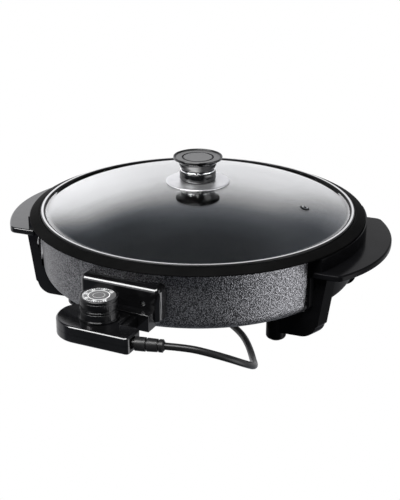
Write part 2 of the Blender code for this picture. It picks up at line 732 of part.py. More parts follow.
def make_base_plate():
    profile = [(0, BASE_PLATE_TOP_Z), (BASE_PLATE_R, BASE_PLATE_TOP_Z), (BASE_PLATE_R, BASE_PLATE_LOW_Z)]
    profile.append((0, BASE_PLATE_LOW_Z))
    base = place(turned("base_plate", profile, LARGE_STEPS), PAN_AXIS, BASE_STEEL)
    places = [*mirrored_places(HANDLE_SCREW_X, HANDLE_SCREW_Y), (0, 0)]
    ends = [
        ((x, y, BASE_PLATE_LOW_Z - OVERRUN), (x, y, BASE_PLATE_TOP_Z + OVERRUN)) for x, y in places
    ]
    cut(base, place(rods("plate_holes", SCREW_SHANK_R + HOLE_GAP, SMALL_STEPS, ends), PAN_AXIS))
    head_z = BASE_PLATE_LOW_Z - SEAT_GAP - SCREW_HEAD_HEIGHT
    length = SCREW_BOSS_HOLE_DEPTH - OVERRUN
    profile = screw_profile(SCREW_SHANK_R, SCREW_HEAD_R, SCREW_HEAD_HEIGHT, length)
    make_screw("base_plate_screw", profile, PAN_AXIS, (0, 0, head_z))


# Heating element


def element_path():
    """A keyhole: out of one cold end, round the ring and back along the other."""
    end_y = -(PAN_WALL_R + ELEMENT_END_REACH)
    reach = ELEMENT_RING_R + ELEMENT_BEND_R
    bend_x = PIN_PITCH_HALF + ELEMENT_BEND_R
    bend_y = -math.sqrt(reach**2 - bend_x**2)
    meet = math.atan2(bend_y, bend_x)
    bend = arc((bend_x, bend_y), ELEMENT_BEND_R, math.pi, meet + math.pi, BEND_POINTS)
    ring = arc((0, 0), ELEMENT_RING_R, meet, math.pi - meet, RING_POINTS)[1:-1]
    right = [(PIN_PITCH_HALF, end_y)] + bend
    left = [(-x, y) for x, y in reversed(right)]
    return [(x, y, 0) for x, y in right + ring + left]


def make_element():
    """The tube, with its points in the socket's frame."""
    guide = tube_curve("heating_element", element_path(), ELEMENT_TUBE_R, 1)
    curve = guide.data
    bpy.data.objects.remove(guide)
    lift = Matrix.Translation((0, 0, PLUG_IN_Z))
    place(solid_from_curve("heating_element", curve, lift), SOCKET_AXIS, ELEMENT_STEEL)
    pin_start = PAN_WALL_R + ELEMENT_END_REACH + SEAT_GAP
    for side, x in (("left", -PIN_PITCH_HALF), ("right", PIN_PITCH_HALF)):
        profile = [
            (0, PIN_LENGTH),
            (PIN_R - SCREW_EDGE, PIN_LENGTH),
            (PIN_R, PIN_LENGTH - SCREW_EDGE),
            (PIN_R, 0),
            (0, 0),
        ]
        pin = place(turned("terminal_pin_" + side, profile, SMALL_STEPS), SOCKET_AXIS, STEEL)
        pin.location = (x, -pin_start, PLUG_IN_Z)
        pin.rotation_euler = (math.pi / 2, 0, 0)


def clip_screw_places():
    """Where the clips' screws enter the floor, round the pan's axis."""
    r = ELEMENT_RING_R + ELEMENT_TUBE_R + CLIP_SIDE_ROOM + CLIP_THICKNESS + CLIP_TAB / 2
    turns = [a + SOCKET_TURN for a in CLIP_ANGLES]
    return [(r * math.cos(a), r * math.sin(a)) for a in turns]


def clip_outline():
    """A strap in (radial, height): a tab, a trough round the tube and a tab."""
    depth = ELEMENT_TUBE_R + SEAT_GAP
    inner = ELEMENT_TUBE_R + CLIP_SIDE_ROOM
    outer = inner + CLIP_THICKNESS
    tab_top = FLOOR_UNDER_Z - SEAT_GAP - PLUG_IN_Z
    tab_low = tab_top - CLIP_THICKNESS
    around = arc((0, 0), 1, -math.pi, 0, 2 * ARC_STEPS + 2)
    trough = [(x * outer, z * (depth + CLIP_THICKNESS)) for x, z in around]
    hollow = [(x * inner, z * depth) for x, z in reversed(around)]
    return (
        [(-outer - CLIP_TAB, tab_top), (-outer - CLIP_TAB, tab_low), (-outer, tab_low)]
        + trough
        + [(outer, tab_low), (outer + CLIP_TAB, tab_low), (outer + CLIP_TAB, tab_top), (inner, tab_top)]
        + hollow
        + [(-inner, tab_top)]
    )


def make_clips():
    stand = Matrix.Rotation(math.pi / 2, 4, "X")
    tab_top = FLOOR_UNDER_Z - SEAT_GAP - PLUG_IN_Z
    tab_low = tab_top - CLIP_THICKNESS
    head = PLUG_IN_Z + tab_low - SEAT_GAP - SMALL_HEAD_HEIGHT
    screw_length = CLIP_THICKNESS + 2 * SEAT_GAP + CLIP_HOLE_DEPTH - SEAT_GAP
    profile = screw_profile(SMALL_SHANK_R, SMALL_HEAD_R, SMALL_HEAD_HEIGHT, screw_length)
    screws = clip_screw_places()
    for i, angle in enumerate(CLIP_ANGLES):
        name = f"element_clip_{i + 1}"
        move = Matrix.Translation((ELEMENT_RING_R, 0, PLUG_IN_Z))
        strap = plate(name, clip_outline(), -CLIP_WIDTH / 2, CLIP_WIDTH / 2, move @ stand)
        place(strap, SOCKET_AXIS, STEEL)
        strap.rotation_euler = (0, 0, angle)
        x, y = screws[i]
        hole = rods(
            f"clip_hole_{i + 1}",
            SMALL_SHANK_R + HOLE_GAP,
            SMALL_STEPS,
            [((x, y, PLUG_IN_Z + tab_low - OVERRUN), (x, y, PLUG_IN_Z + tab_top + OVERRUN))],
        )
        cut(strap, place(hole, PAN_AXIS))
        make_screw(f"clip_screw_{i + 1}", profile, PAN_AXIS, (x, y, head))


# Handles


def wing_outline():
    """The wing in plan, for the handle at +X: a round outer edge between two straight ends."""
    centre_x = HANDLE_REACH - WING_EDGE_R
    inset = WING_HALF_WIDTH - WING_CORNER_R
    inner_r = WING_EDGE_R - WING_CORNER_R
    corner_x = centre_x + math.sqrt(inner_r**2 - inset**2)
    meet = math.atan2(inset, corner_x - centre_x)
    edge = arc((centre_x, 0), WING_EDGE_R, -meet, meet, WING_STEPS)
    upper = arc((corner_x, inset), WING_CORNER_R, meet, math.pi / 2, ARC_STEPS)[1:]
    lower = [(x, -y) for x, y in reversed(upper)]
    ends = [(WING_ROOT_X, WING_HALF_WIDTH), (WING_ROOT_X, -WING_HALF_WIDTH)]
    return lower + edge + upper + ends


def leg_profile():
    """A leg and its arm in (radius, height), hugging the pan below its window."""
    top = WING_TOP_Z - WING_THICKNESS / 2
    slope = (LEG_OUTER_TOP_R - LEG_OUTER_FOOT_R) / (WING_TOP_Z - LEG_BOTTOM_Z)
    outer_top = LEG_OUTER_TOP_R - slope * (WING_TOP_Z - top)
    corner_x = LEG_OUTER_FOOT_R - LEG_CORNER_R
    corner_z = LEG_BOTTOM_Z + LEG_CORNER_R
    outer_low = (LEG_OUTER_FOOT_R + slope * LEG_CORNER_R, corner_z)
    inner_end = math.hypot(FOOT_X, FOOT_Y) + FOOT_R / 4
    gap_r = PAN_CORNER_R + WALL_GAP
    centre = (CORNER_CENTRE_R, CORNER_CENTRE_Z)
    wall = PAN_WALL_R + WALL_GAP
    clear_low = arc(centre, gap_r, -math.pi / 2, 0, ARC_STEPS)
    return (
        [(inner_end, ARM_TOP_Z), (CORNER_CENTRE_R - WALL_GAP, ARM_TOP_Z)]
        + clear_low[:-1]
        + [(wall, WINDOW_BOTTOM_Z + PAN_CORNER_R / 2)]
        + [(WINDOW_TOP_R, WINDOW_TOP_Z), (wall + 2 * WALL_GAP, top)]
        + [(outer_top, top), outer_low]
        + arc((corner_x, corner_z), LEG_CORNER_R, 0, -math.pi / 2, ARC_STEPS)[1:]
        + [(inner_end, LEG_BOTTOM_Z)]
    )


def riser_profile():
    """The block between the wing and the flange, with a plate down the pan's wall."""
    low = WING_TOP_Z - RISER_DROP
    inner = PAN_WALL_R + WALL_GAP
    plate_in = inner + WALL_GAP
    plate_out = plate_in + WALL_PLATE_THICKNESS
    return [
        (inner, WALL_TOP_Z - WALL_GAP),
        (PAN_WALL_R + FLANGE_ROOT_WIDTH, LEDGE_Z - FLANGE_ROOT_DROP - WALL_GAP),
        (FLANGE_R - FLANGE_ROUND, FLANGE_LOW_Z - WALL_GAP),
        (RISER_R, FLANGE_LOW_Z - WALL_GAP),
        (RISER_R, low),
        (plate_out, low),
        (plate_out, WINDOW_BOTTOM_Z + PAN_CORNER_R / 3),
        (plate_in, WINDOW_BOTTOM_Z),
        (plate_in, low),
        (inner, low),
    ]


def foot_profile():
    top = ARM_TOP_Z - FOOT_TOP_STEP
    points = [(0, top), (FOOT_R, top)]
    points += arc((FOOT_R - FOOT_ROUND, POST_LOW_Z + FOOT_ROUND), FOOT_ROUND, 0, -math.pi / 2, ARC_STEPS)
    points += [
        (PAD_R + SEAT_GAP, POST_LOW_Z),
        (PAD_R + SEAT_GAP, PAD_HEIGHT + SEAT_GAP),
        (0, PAD_HEIGHT + SEAT_GAP),
    ]
    return points


def make_handle_mesh():
    """One handle, for +X, built from its wing, riser, legs and foot posts."""
    outline = wing_outline()
    handle = plate("handle_form", outline, WING_TOP_Z - WING_THICKNESS, WING_TOP_Z)
    place(handle, PAN_AXIS)
    soften(handle, WING_ROUND)
    root_r = PAN_WALL_R + 2 * WALL_GAP
    root = turned(
        "wing_root",
        [
            (0, WING_TOP_Z + OVERRUN),
            (root_r, WING_TOP_Z + OVERRUN),
            (root_r, WING_TOP_Z - WING_THICKNESS - OVERRUN),
            (0, WING_TOP_Z - WING_THICKNESS - OVERRUN),
        ],
        LARGE_STEPS,
    )
    cut(handle, place(root, PAN_AXIS))
    riser = place(turned("riser_form", riser_profile(), LARGE_STEPS, closed=True), PAN_AXIS)
    low = (0, -RISER_HALF_WIDTH, 0)
    high = (HANDLE_REACH, RISER_HALF_WIDTH, LIP_TOP_Z)
    combine(riser, place(box("riser_span", low, high), PAN_AXIS), "INTERSECT")
    legs = place(turned("leg_form", leg_profile(), LARGE_STEPS, closed=True), PAN_AXIS)
    inner_y = LEG_FRONT_Y - LEG_THICKNESS
    spans = [
        ((0, inner_y, 0), (HANDLE_REACH, LEG_FRONT_Y, LIP_TOP_Z)),
        ((0, -LEG_FRONT_Y, 0), (HANDLE_REACH, -inner_y, LIP_TOP_Z)),
    ]
    combine(legs, place(boxes("leg_spans", spans), PAN_AXIS), "INTERSECT")
    join(handle, riser, legs)
    for i, y in enumerate((FOOT_Y, -FOOT_Y)):
        foot = place(turned(f"foot_form_{i + 1}", foot_profile(), FOOT_STEPS), PAN_AXIS)
        foot.location = (FOOT_X, y, 0)
        join(handle, foot)
    seat = LEG_BOTTOM_Z + HANDLE_SCREW_SEAT
    places = [(HANDLE_SCREW_X, HANDLE_SCREW_Y), (HANDLE_SCREW_X, -HANDLE_SCREW_Y)]
    wells = [((x, y, LEG_BOTTOM_Z - OVERRUN), (x, y, seat)) for x, y in places]
    shanks = [((x, y, seat - OVERRUN), (x, y, ARM_TOP_Z + OVERRUN)) for x, y in places]
    cut(
        handle,
        place(rods("screw_wells", SCREW_HEAD_R + 2 * HOLE_GAP, SMALL_STEPS, wells), PAN_AXIS),
        place(rods("screw_bores", SCREW_SHANK_R + HOLE_GAP, SMALL_STEPS, shanks), PAN_AXIS),
    )
    return baked(handle)


def make_handles():
    mesh = make_handle_mesh()
    for name, turn in (("handle_right", 0.0), ("handle_left", math.pi)):
        handle = place(bpy.data.objects.new(name, mesh), PAN_AXIS, BAKELITE)
        handle.rotation_euler = (0, 0, turn)
    names = ("back_right", "back_left", "front_left", "front_right")
    seat = LEG_BOTTOM_Z + HANDLE_SCREW_SEAT - SEAT_GAP - SCREW_HEAD_HEIGHT
    screw = screw_profile(SCREW_SHANK_R, SCREW_HEAD_R, SCREW_HEAD_HEIGHT, HANDLE_SCREW_LENGTH)
    pad = [
        (0, PAD_HEIGHT),
        (PAD_R, PAD_HEIGHT),
        (PAD_R, SCREW_EDGE),
        (PAD_R - SCREW_EDGE, 0),
        (0, 0),
    ]
    feet = mirrored_places(FOOT_X, FOOT_Y)
    screws = mirrored_places(HANDLE_SCREW_X, HANDLE_SCREW_Y)
    for name, foot, place_ in zip(names, feet, screws):
        rest = place(turned("foot_pad_" + name, pad, FOOT_STEPS), PAN_AXIS, RUBBER)
        rest.location = (*foot, 0)
        make_screw("handle_screw_" + name, screw, PAN_AXIS, (*place_, seat))


# Lid


def glass_profile():
    radii = [DOME_R * i / DOME_POINTS for i in range(DOME_POINTS + 1)]
    top = [(max(r, GLASS_HOLE_R), dome_z(max(r, GLASS_HOLE_R))) for r in radii]
    low = [(r, z - GLASS_THICKNESS) for r, z in reversed(top)]
    return top + [(GLASS_R, GLASS_EDGE_TOP_Z), (GLASS_R, GLASS_EDGE_LOW_Z)] + low


def channel_profile(outer, inner, low, high, sheet):
    """A sheet channel open towards the axis, as a closed profile."""
    return [
        (inner, high),
        (outer - sheet / 2, high),
        (outer, high - sheet / 2),
        (outer, low),
        (inner, low),
        (inner, low + sheet),
        (outer - sheet, low + sheet),
        (outer - sheet, high - sheet),
        (inner, high - sheet),
    ]


def make_lid():
    glass = turned("glass_lid", glass_profile(), LARGE_STEPS, closed=True)
    place(glass, LID_AXIS, GLASS)
    vent_z = dome_z(VENT_R)
    normal = Vector((VENT_R, 0, vent_z - (GLASS_TOP_Z - DOME_BALL_R))).normalized()
    vent = Vector((VENT_R, 0, vent_z))
    start = vent - normal * (GLASS_THICKNESS + OVERRUN)
    hole = rods("vent_hole", VENT_HOLE_R, SMALL_STEPS, [(start, vent + normal * OVERRUN)])
    cut(glass, place(hole, LID_AXIS))

    rim = channel_profile(LID_RIM_R, LID_RIM_INNER_R, RIM_LOW_Z, RIM_TOP_Z, LID_RIM_SHEET)
    place(turned("lid_rim", rim, LARGE_STEPS, closed=True), LID_AXIS, STEEL)
    seal = channel_profile(GASKET_OUTER_R, GASKET_INNER_R, GASKET_LOW_Z, GASKET_TOP_Z, GASKET_SHEET)
    place(turned("lid_gasket", seal, LARGE_STEPS, closed=True), LID_AXIS, RUBBER)

    neck_r = VENT_HOLE_R - HOLE_GAP
    low = -GLASS_THICKNESS - 2 * SEAT_GAP
    profile = [
        (VENT_BORE_R, VENT_HEAD),
        (VENT_HEAD_R - VENT_HEAD, VENT_HEAD),
        (VENT_HEAD_R, VENT_HEAD / 2),
        (VENT_HEAD_R, SEAT_GAP),
        (neck_r, SEAT_GAP),
        (neck_r, low),
        (VENT_HEAD_R, low),
        (VENT_HEAD_R, low - VENT_HEAD / 2),
        (VENT_BORE_R, low - VENT_HEAD / 2),
    ]
    grommet = turned("vent_grommet", profile, SMALL_STEPS, closed=True)
    place(grommet, LID_AXIS, STEEL)
    grommet.location = vent
    grommet.rotation_euler = (0, math.atan2(normal.x, normal.z), 0)


# Knob


def make_knob():
    edge_z = dome_z(BEZEL_R) + SEAT_GAP
    top_z = GLASS_TOP_Z + SEAT_GAP + BEZEL_SHEET
    stud_r = SCREW_SHANK_R + HOLE_GAP
    bezel = [
        (stud_r, top_z),
        (BEZEL_SHOULDER_R, top_z),
        (BEZEL_R - BEZEL_EDGE_HEIGHT, edge_z + BEZEL_EDGE_HEIGHT),
        (BEZEL_R, edge_z + BEZEL_EDGE_HEIGHT / 2),
        (BEZEL_R, edge_z),
        (BEZEL_R - BEZEL_SHEET, edge_z),
        (BEZEL_SHOULDER_R, top_z - BEZEL_SHEET),
        (stud_r, top_z - BEZEL_SHEET),
    ]
    place(turned("lid_bezel", bezel, KNOB_STEPS, closed=True), LID_AXIS, CHROME)

    collar_low = top_z + SEAT_GAP
    collar_top = collar_low + COLLAR_HEIGHT
    collar = [
        (stud_r, collar_top),
        (COLLAR_R - COLLAR_ROUND, collar_top),
        (COLLAR_R, collar_top - COLLAR_ROUND),
        (COLLAR_R, collar_low + COLLAR_ROUND / 2),
        (COLLAR_R - COLLAR_ROUND / 2, collar_low),
        (stud_r, collar_low),
    ]
    place(turned("knob_collar", collar, KNOB_STEPS, closed=True), LID_AXIS, KNOB_BLACK)

    band_low = collar_top + SEAT_GAP
    band_top = band_low + BAND_HEIGHT
    band = [(stud_r, band_top), (BAND_R, band_top), (BAND_R, band_low), (stud_r, band_low)]
    place(turned("knob_band", band, KNOB_STEPS, closed=True), LID_AXIS, CHROME)

    cup_low = band_top + SEAT_GAP
    cup_top = cup_low + CUP_HEIGHT
    face_z = cup_top - CUP_FACE_DROP
    recess_z = face_z - CAP_THICKNESS - SEAT_GAP
    screw_top = cup_low + KNOB_SCREW_DEPTH
    flare = CUP_RIM_R - CUP_BOTTOM_R
    shares = ((0.0, 0.0), (0.22, 0.28), (0.39, 0.53), (0.7, 0.73), (0.97, 0.83))
    side = [(CUP_BOTTOM_R + flare * out, cup_low + CUP_HEIGHT * up) for out, up in reversed(shares)]
    cup = (
        [(0, recess_z), (CAP_R + CAP_GROOVE, recess_z), (CAP_R + CAP_GROOVE, face_z)]
        + [(CUP_RIM_R - CUP_RIM_WIDTH - CUP_FACE_DROP / 2, face_z), (CUP_RIM_R - CUP_RIM_WIDTH, cup_top)]
        + [(CUP_RIM_R - CUP_RIM_WIDTH / 3, cup_top), (CUP_RIM_R, cup_top - CUP_RIM_WIDTH / 2)]
        + side
        + [(stud_r, cup_low), (stud_r, screw_top), (0, screw_top)]
    )
    place(turned("knob_body", cup, KNOB_STEPS), LID_AXIS, KNOB_BLACK)
    cap = [
        (0, face_z),
        (CAP_R - SCREW_EDGE, face_z),
        (CAP_R, face_z - SCREW_EDGE),
        (CAP_R, recess_z + SEAT_GAP),
        (0, recess_z + SEAT_GAP),
    ]
    place(turned("knob_cap", cap, KNOB_STEPS), LID_AXIS, KNOB_BLACK)

    washer_top = GLASS_TOP_Z - GLASS_THICKNESS - 2 * SEAT_GAP
    washer_low = washer_top - WASHER_THICKNESS
    washer = [(stud_r, washer_top), (WASHER_R, washer_top), (WASHER_R, washer_low), (stud_r, washer_low)]
    place(turned("knob_washer", washer, FOOT_STEPS, closed=True), LID_AXIS, RUBBER)
    head_z = washer_low - SEAT_GAP - SCREW_HEAD_HEIGHT
    length = screw_top - SEAT_GAP - head_z - SCREW_HEAD_HEIGHT
    profile = screw_profile(SCREW_SHANK_R, SCREW_HEAD_R, SCREW_HEAD_HEIGHT, length)
    make_screw("knob_screw", profile, LID_AXIS, (0, 0, head_z))


# Socket guard


def make_block():
    low = (-BLOCK_HALF_WIDTH, -PAN_WALL_R + BLOCK_REACH, BLOCK_BOTTOM_Z)
    high = (BLOCK_HALF_WIDTH, BLOCK_FACE_Y, BLOCK_TOP_Z)
    block = place(box("socket_block", low, high), SOCKET_AXIS, BAKELITE)
    soften(block, BLOCK_ROUND, 3)
    half = NOSE_HALF_WIDTH + SEAT_GAP + SHROUD_SIDE
    half_z = NOSE_HEIGHT / 2 + SEAT_GAP + SHROUD_WALL
    shroud = box(
        "shroud_form",
        (-half, BLOCK_FACE_Y + BLOCK_REACH / 3, PLUG_IN_Z - half_z),
        (half, SHROUD_END_Y, PLUG_IN_Z + half_z),
    )
    join(block, soften(place(shroud, SOCKET_AXIS), SCREW_EDGE))
    cut(block, place(turned("block_back", pan_cutter_profile(), LARGE_STEPS), PAN_AXIS))
    inner = NOSE_HALF_WIDTH + SEAT_GAP
    inner_z = NOSE_HEIGHT / 2 + SEAT_GAP
    recess = box(
        "nose_recess",
        (-inner, WEB_FACE_Y, PLUG_IN_Z - inner_z),
        (inner, SHROUD_END_Y - OVERRUN, PLUG_IN_Z + inner_z),
    )
    cut(block, place(recess, SOCKET_AXIS))
    back = -PAN_WALL_R + BLOCK_REACH
    front = WEB_FACE_Y - OVERRUN
    pin_xs = (-PIN_PITCH_HALF, PIN_PITCH_HALF)
    pins = [((x, back, PLUG_IN_Z), (x, front, PLUG_IN_Z)) for x in pin_xs]
    cut(block, place(rods("pin_holes", PIN_R + HOLE_GAP, SMALL_STEPS, pins), SOCKET_AXIS))
    tube_end = -(PAN_WALL_R + ELEMENT_END_REACH + SEAT_GAP)
    tubes = [((x, back, PLUG_IN_Z), (x, tube_end, PLUG_IN_Z)) for x in pin_xs]
    tube_r = ELEMENT_TUBE_R + 2 * HOLE_GAP
    cut(block, place(rods("tube_pockets", tube_r, SMALL_STEPS, tubes), SOCKET_AXIS))
    probe = [((0, back, PLUG_IN_Z), (0, front, PLUG_IN_Z))]
    cut(block, place(rods("probe_hole", PROBE_R + 2 * HOLE_GAP, SMALL_STEPS, probe), SOCKET_AXIS))

    boss_end = BLOCK_FACE_Y + BLOCK_REACH - WALL_BOSS_LENGTH
    seat = BLOCK_FACE_Y + BLOCK_SCREW_SEAT
    sides = (("left", -BLOCK_SCREW_X), ("right", BLOCK_SCREW_X))
    z = BLOCK_SCREW_Z
    pockets = [((x, back, z), (x, boss_end - SEAT_GAP, z)) for side, x in sides]
    bores = [((x, back, z), (x, seat - OVERRUN, z)) for side, x in sides]
    wells = [((x, seat, z), (x, BLOCK_FACE_Y - OVERRUN, z)) for side, x in sides]
    cut(
        block,
        place(rods("boss_pockets", WALL_BOSS_R + HOLE_GAP, SMALL_STEPS, pockets), SOCKET_AXIS),
        place(rods("block_bores", SMALL_SHANK_R + HOLE_GAP, SMALL_STEPS, bores), SOCKET_AXIS),
        place(rods("block_wells", SMALL_HEAD_R + HOLE_GAP, SMALL_STEPS, wells), SOCKET_AXIS),
    )
    profile = screw_profile(SMALL_SHANK_R, SMALL_HEAD_R, SMALL_HEAD_HEIGHT, BLOCK_SCREW_LENGTH)
    for side, x in sides:
        head_y = seat - SEAT_GAP - SMALL_HEAD_HEIGHT
        make_screw("socket_screw_" + side, profile, SOCKET_AXIS, (x, head_y, z), (-math.pi / 2, 0, 0))


# Controller


def controller_outline(inset):
    """The housing in plan, drawn in by a wall: a round left end and a slim bar to the right."""
    left = -CONTROLLER_LEFT + inset
    right = CONTROLLER_RIGHT - inset
    front = CONTROLLER_FRONT_Y + inset
    back = CONTROLLER_BACK_Y - inset
    step_x = CONTROLLER_STEP_X - inset
    step_y = CONTROLLER_STEP_Y - inset
    return rounded(
        [
            (left, front, CONTROLLER_LEFT_R - inset),
            (right, front, CONTROLLER_RIGHT_R - inset),
            (right, step_y, CONTROLLER_RIGHT_R - inset),
            (step_x, step_y, inset + CONTROLLER_ROUND),
            (step_x, back, CONTROLLER_RIGHT_R - inset),
            (left, back, CONTROLLER_LEFT_BACK_R - inset),
        ]
    )


def housing_screw_places():
    inset = HOUSING_SCREW_INSET
    left = -CONTROLLER_LEFT + inset
    return [
        (CONTROLLER_RIGHT - HOUSING_SCREW_RIGHT_INSET, (CONTROLLER_FRONT_Y + CONTROLLER_STEP_Y) / 2),
        (left + inset / 2, CONTROLLER_FRONT_Y + inset),
        (left, CONTROLLER_BACK_Y - inset),
    ]


def relief_matrix():
    """From the relief's own frame, with its axis along Z, to the controller's."""
    start = Matrix.Translation((CONTROLLER_RIGHT, RELIEF_Y, 0))
    return start @ Matrix.Rotation(RELIEF_TURN, 4, "Z") @ Matrix.Rotation(math.pi / 2, 4, "Y")


def make_controller_half(name, upper):
    """One half of the housing, round the probe's axis, from the split to its outer face."""
    half = CONTROLLER_HEIGHT / 2
    shell = plate(name, controller_outline(0), -half, half)
    place(shell, PROBE_AXIS, BAKELITE)
    soften(shell, CONTROLLER_ROUND)
    nose = box(
        name + "_nose",
        (-NOSE_HALF_WIDTH, CONTROLLER_STEP_Y - CONTROLLER_WALL, -NOSE_HEIGHT / 2),
        (NOSE_HALF_WIDTH, NOSE_END_Y, NOSE_HEIGHT / 2),
    )
    join(shell, soften(place(nose, PROBE_AXIS), SCREW_EDGE))
    inner = half - CONTROLLER_WALL
    hollow = plate(name + "_hollow", controller_outline(CONTROLLER_WALL), -inner, inner)
    cut(shell, place(hollow, PROBE_AXIS))
    reach = CONTROLLER_BACK_Y - CONTROLLER_WALL - OVERRUN
    pins = [((x, reach, 0), (x, NOSE_END_Y + OVERRUN, 0)) for x in (-PIN_PITCH_HALF, PIN_PITCH_HALF)]
    sleeve_r = PIN_R + HOLE_GAP + SLEEVE_WALL
    cut(shell, place(rods(name + "_sleeves", sleeve_r + SEAT_GAP, SMALL_STEPS, pins), PROBE_AXIS))
    probe = [((0, reach, 0), (0, NOSE_END_Y + OVERRUN, 0))]
    cut(shell, place(rods(name + "_probe", PROBE_R + HOLE_GAP, SMALL_STEPS, probe), PROBE_AXIS))
    neck = rods(
        name + "_neck",
        RELIEF_NECK_R + HOLE_GAP,
        SMALL_STEPS,
        [((0, 0, -RELIEF_FLANGE_AT - OVERRUN), (0, 0, OVERRUN))],
    )
    neck.matrix_basis = relief_matrix()
    cut(shell, place(neck, PROBE_AXIS))
    places = housing_screw_places()
    split = SEAT_GAP / 2
    far = CONTROLLER_LEFT * 2
    if upper:
        posts = [((x, y, 0), (x, y, half - CONTROLLER_WALL / 2)) for x, y in places]
        join(shell, place(rods(name + "_posts", HOUSING_POST_R, SMALL_STEPS, posts), PROBE_AXIS))
        holes = [((x, y, -OVERRUN), (x, y, HOUSING_SCREW_LENGTH / 2)) for x, y in places]
        cut(shell, place(rods(name + "_holes", SMALL_SHANK_R + HOLE_GAP, SMALL_STEPS, holes), PROBE_AXIS))
        shaft = [((DIAL_X, DIAL_Y, 0), (DIAL_X, DIAL_Y, half + OVERRUN))]
        cut(shell, place(rods(name + "_shaft", SHAFT_R + HOLE_GAP, SMALL_STEPS, shaft), PROBE_AXIS))
        away = box(name + "_away", (-far, CONTROLLER_FRONT_Y - OVERRUN, -half - OVERRUN), (far, 0, split))
    else:
        posts = [((x, y, -half + CONTROLLER_WALL / 2), (x, y, 0)) for x, y in places]
        join(shell, place(rods(name + "_posts", HOUSING_POST_R, SMALL_STEPS, posts), PROBE_AXIS))
        holes = [((x, y, -half - OVERRUN), (x, y, OVERRUN)) for x, y in places]
        cut(shell, place(rods(name + "_holes", SMALL_SHANK_R + HOLE_GAP, SMALL_STEPS, holes), PROBE_AXIS))
        seat = -half + HOUSING_SCREW_SEAT + SMALL_HEAD_HEIGHT
        wells = [((x, y, -half - OVERRUN), (x, y, seat)) for x, y in places]
        well_r = SMALL_HEAD_R + HOLE_GAP
        cut(shell, place(rods(name + "_wells", well_r, SMALL_STEPS, wells), PROBE_AXIS))
        away = box(name + "_away", (-far, CONTROLLER_FRONT_Y - OVERRUN, -split), (far, 0, half + OVERRUN))
    cut(shell, place(away, PROBE_AXIS))


def make_controller():
    make_controller_half("controller_upper", True)
    make_controller_half("controller_lower", False)
    half = CONTROLLER_HEIGHT / 2
    head_z = -half + HOUSING_SCREW_SEAT - SEAT_GAP
    profile = screw_profile(SMALL_SHANK_R, SMALL_HEAD_R, SMALL_HEAD_HEIGHT, HOUSING_SCREW_LENGTH)
    for i, (x, y) in enumerate(housing_screw_places()):
        make_screw(f"housing_screw_{i + 1}", profile, PROBE_AXIS, (x, y, head_z))

    inner_r = PIN_R + HOLE_GAP
    outer_r = inner_r + SLEEVE_WALL
    sleeve = [(inner_r, SLEEVE_LENGTH), (outer_r, SLEEVE_LENGTH), (outer_r, 0), (inner_r, 0)]
    for side, x in (("left", -PIN_PITCH_HALF), ("right", PIN_PITCH_HALF)):
        contact = turned("contact_sleeve_" + side, sleeve, SMALL_STEPS, closed=True)
        place(contact, PROBE_AXIS, BRASS)
        contact.location = (x, NOSE_END_Y - SEAT_GAP, 0)
        contact.rotation_euler = (math.pi / 2, 0, 0)

    switch_back = DIAL_Y + SWITCH_HALF_DEPTH
    length = -WEB_FACE_Y - PROBE_REACH
    rod = [(0, 0), (PROBE_R - SCREW_EDGE, 0), (PROBE_R, -SCREW_EDGE)]
    probe_end = -(switch_back + SEAT_GAP) - length
    rod += [(PROBE_R, -probe_end), (0, -probe_end)]
    probe = place(turned("probe_tube", rod, SMALL_STEPS), PROBE_AXIS, STEEL)
    probe.location = (0, -length, 0)
    probe.rotation_euler = (-math.pi / 2, 0, 0)

    low = -half + CONTROLLER_WALL + SEAT_GAP
    body = box(
        "thermostat_switch",
        (DIAL_X - SWITCH_HALF, DIAL_Y - SWITCH_HALF_DEPTH, low),
        (DIAL_X + SWITCH_HALF, switch_back, low + SWITCH_HEIGHT),
    )
    place(body, PROBE_AXIS, CERAMIC)
    post_top = low + SWITCH_HEIGHT + SWITCH_POST_HEIGHT
    post = [((DIAL_X, DIAL_Y, low + SWITCH_HEIGHT / 2), (DIAL_X, DIAL_Y, post_top))]
    join(body, place(rods("switch_post", SWITCH_POST_R, SMALL_STEPS, post), PROBE_AXIS))
    return post_top


def dial_profile(low, bore_top):
    """The dial: a foot, a ribbed barrel in steps, a rim and a shallow recess for its plate."""
    top = low + DIAL_HEIGHT
    barrel = DIAL_R - DIAL_GROOVE / 3
    deep = DIAL_R - DIAL_GROOVE
    rim_low = top - DIAL_RIM_HEIGHT
    recess = top - DIAL_FACE_DROP - DIAL_PLATE_THICKNESS - SEAT_GAP
    plate_r = DIAL_PLATE_R + SEAT_GAP
    step = (rim_low - low - DIAL_BASE_HEIGHT) / 4
    foot = low + DIAL_BASE_HEIGHT
    return [
        (0, recess),
        (plate_r, recess),
        (plate_r, top),
        (DIAL_R - DIAL_BEVEL, top),
        (DIAL_R, top - DIAL_BEVEL),
        (DIAL_R, rim_low),
        (deep, rim_low),
        (deep, rim_low - DIAL_RIB),
        (barrel, rim_low - DIAL_RIB),
        (barrel, foot + 2 * step + DIAL_RIB),
        (deep, foot + 2 * step + DIAL_RIB),
        (deep, foot + 2 * step),
        (DIAL_R, foot + 2 * step),
        (DIAL_R, foot + 2 * step - DIAL_RIB),
        (deep, foot + 2 * step - DIAL_RIB),
        (deep, foot + 2 * step - 2 * DIAL_RIB),
        (barrel, foot + 2 * step - 2 * DIAL_RIB),
        (barrel, foot),
        (DIAL_R + DIAL_BASE_EXTRA, foot),
        (DIAL_R + DIAL_BASE_EXTRA, low),
        (SHAFT_R + HOLE_GAP, low),
        (SHAFT_R + HOLE_GAP, bore_top),
        (0, bore_top),
    ]


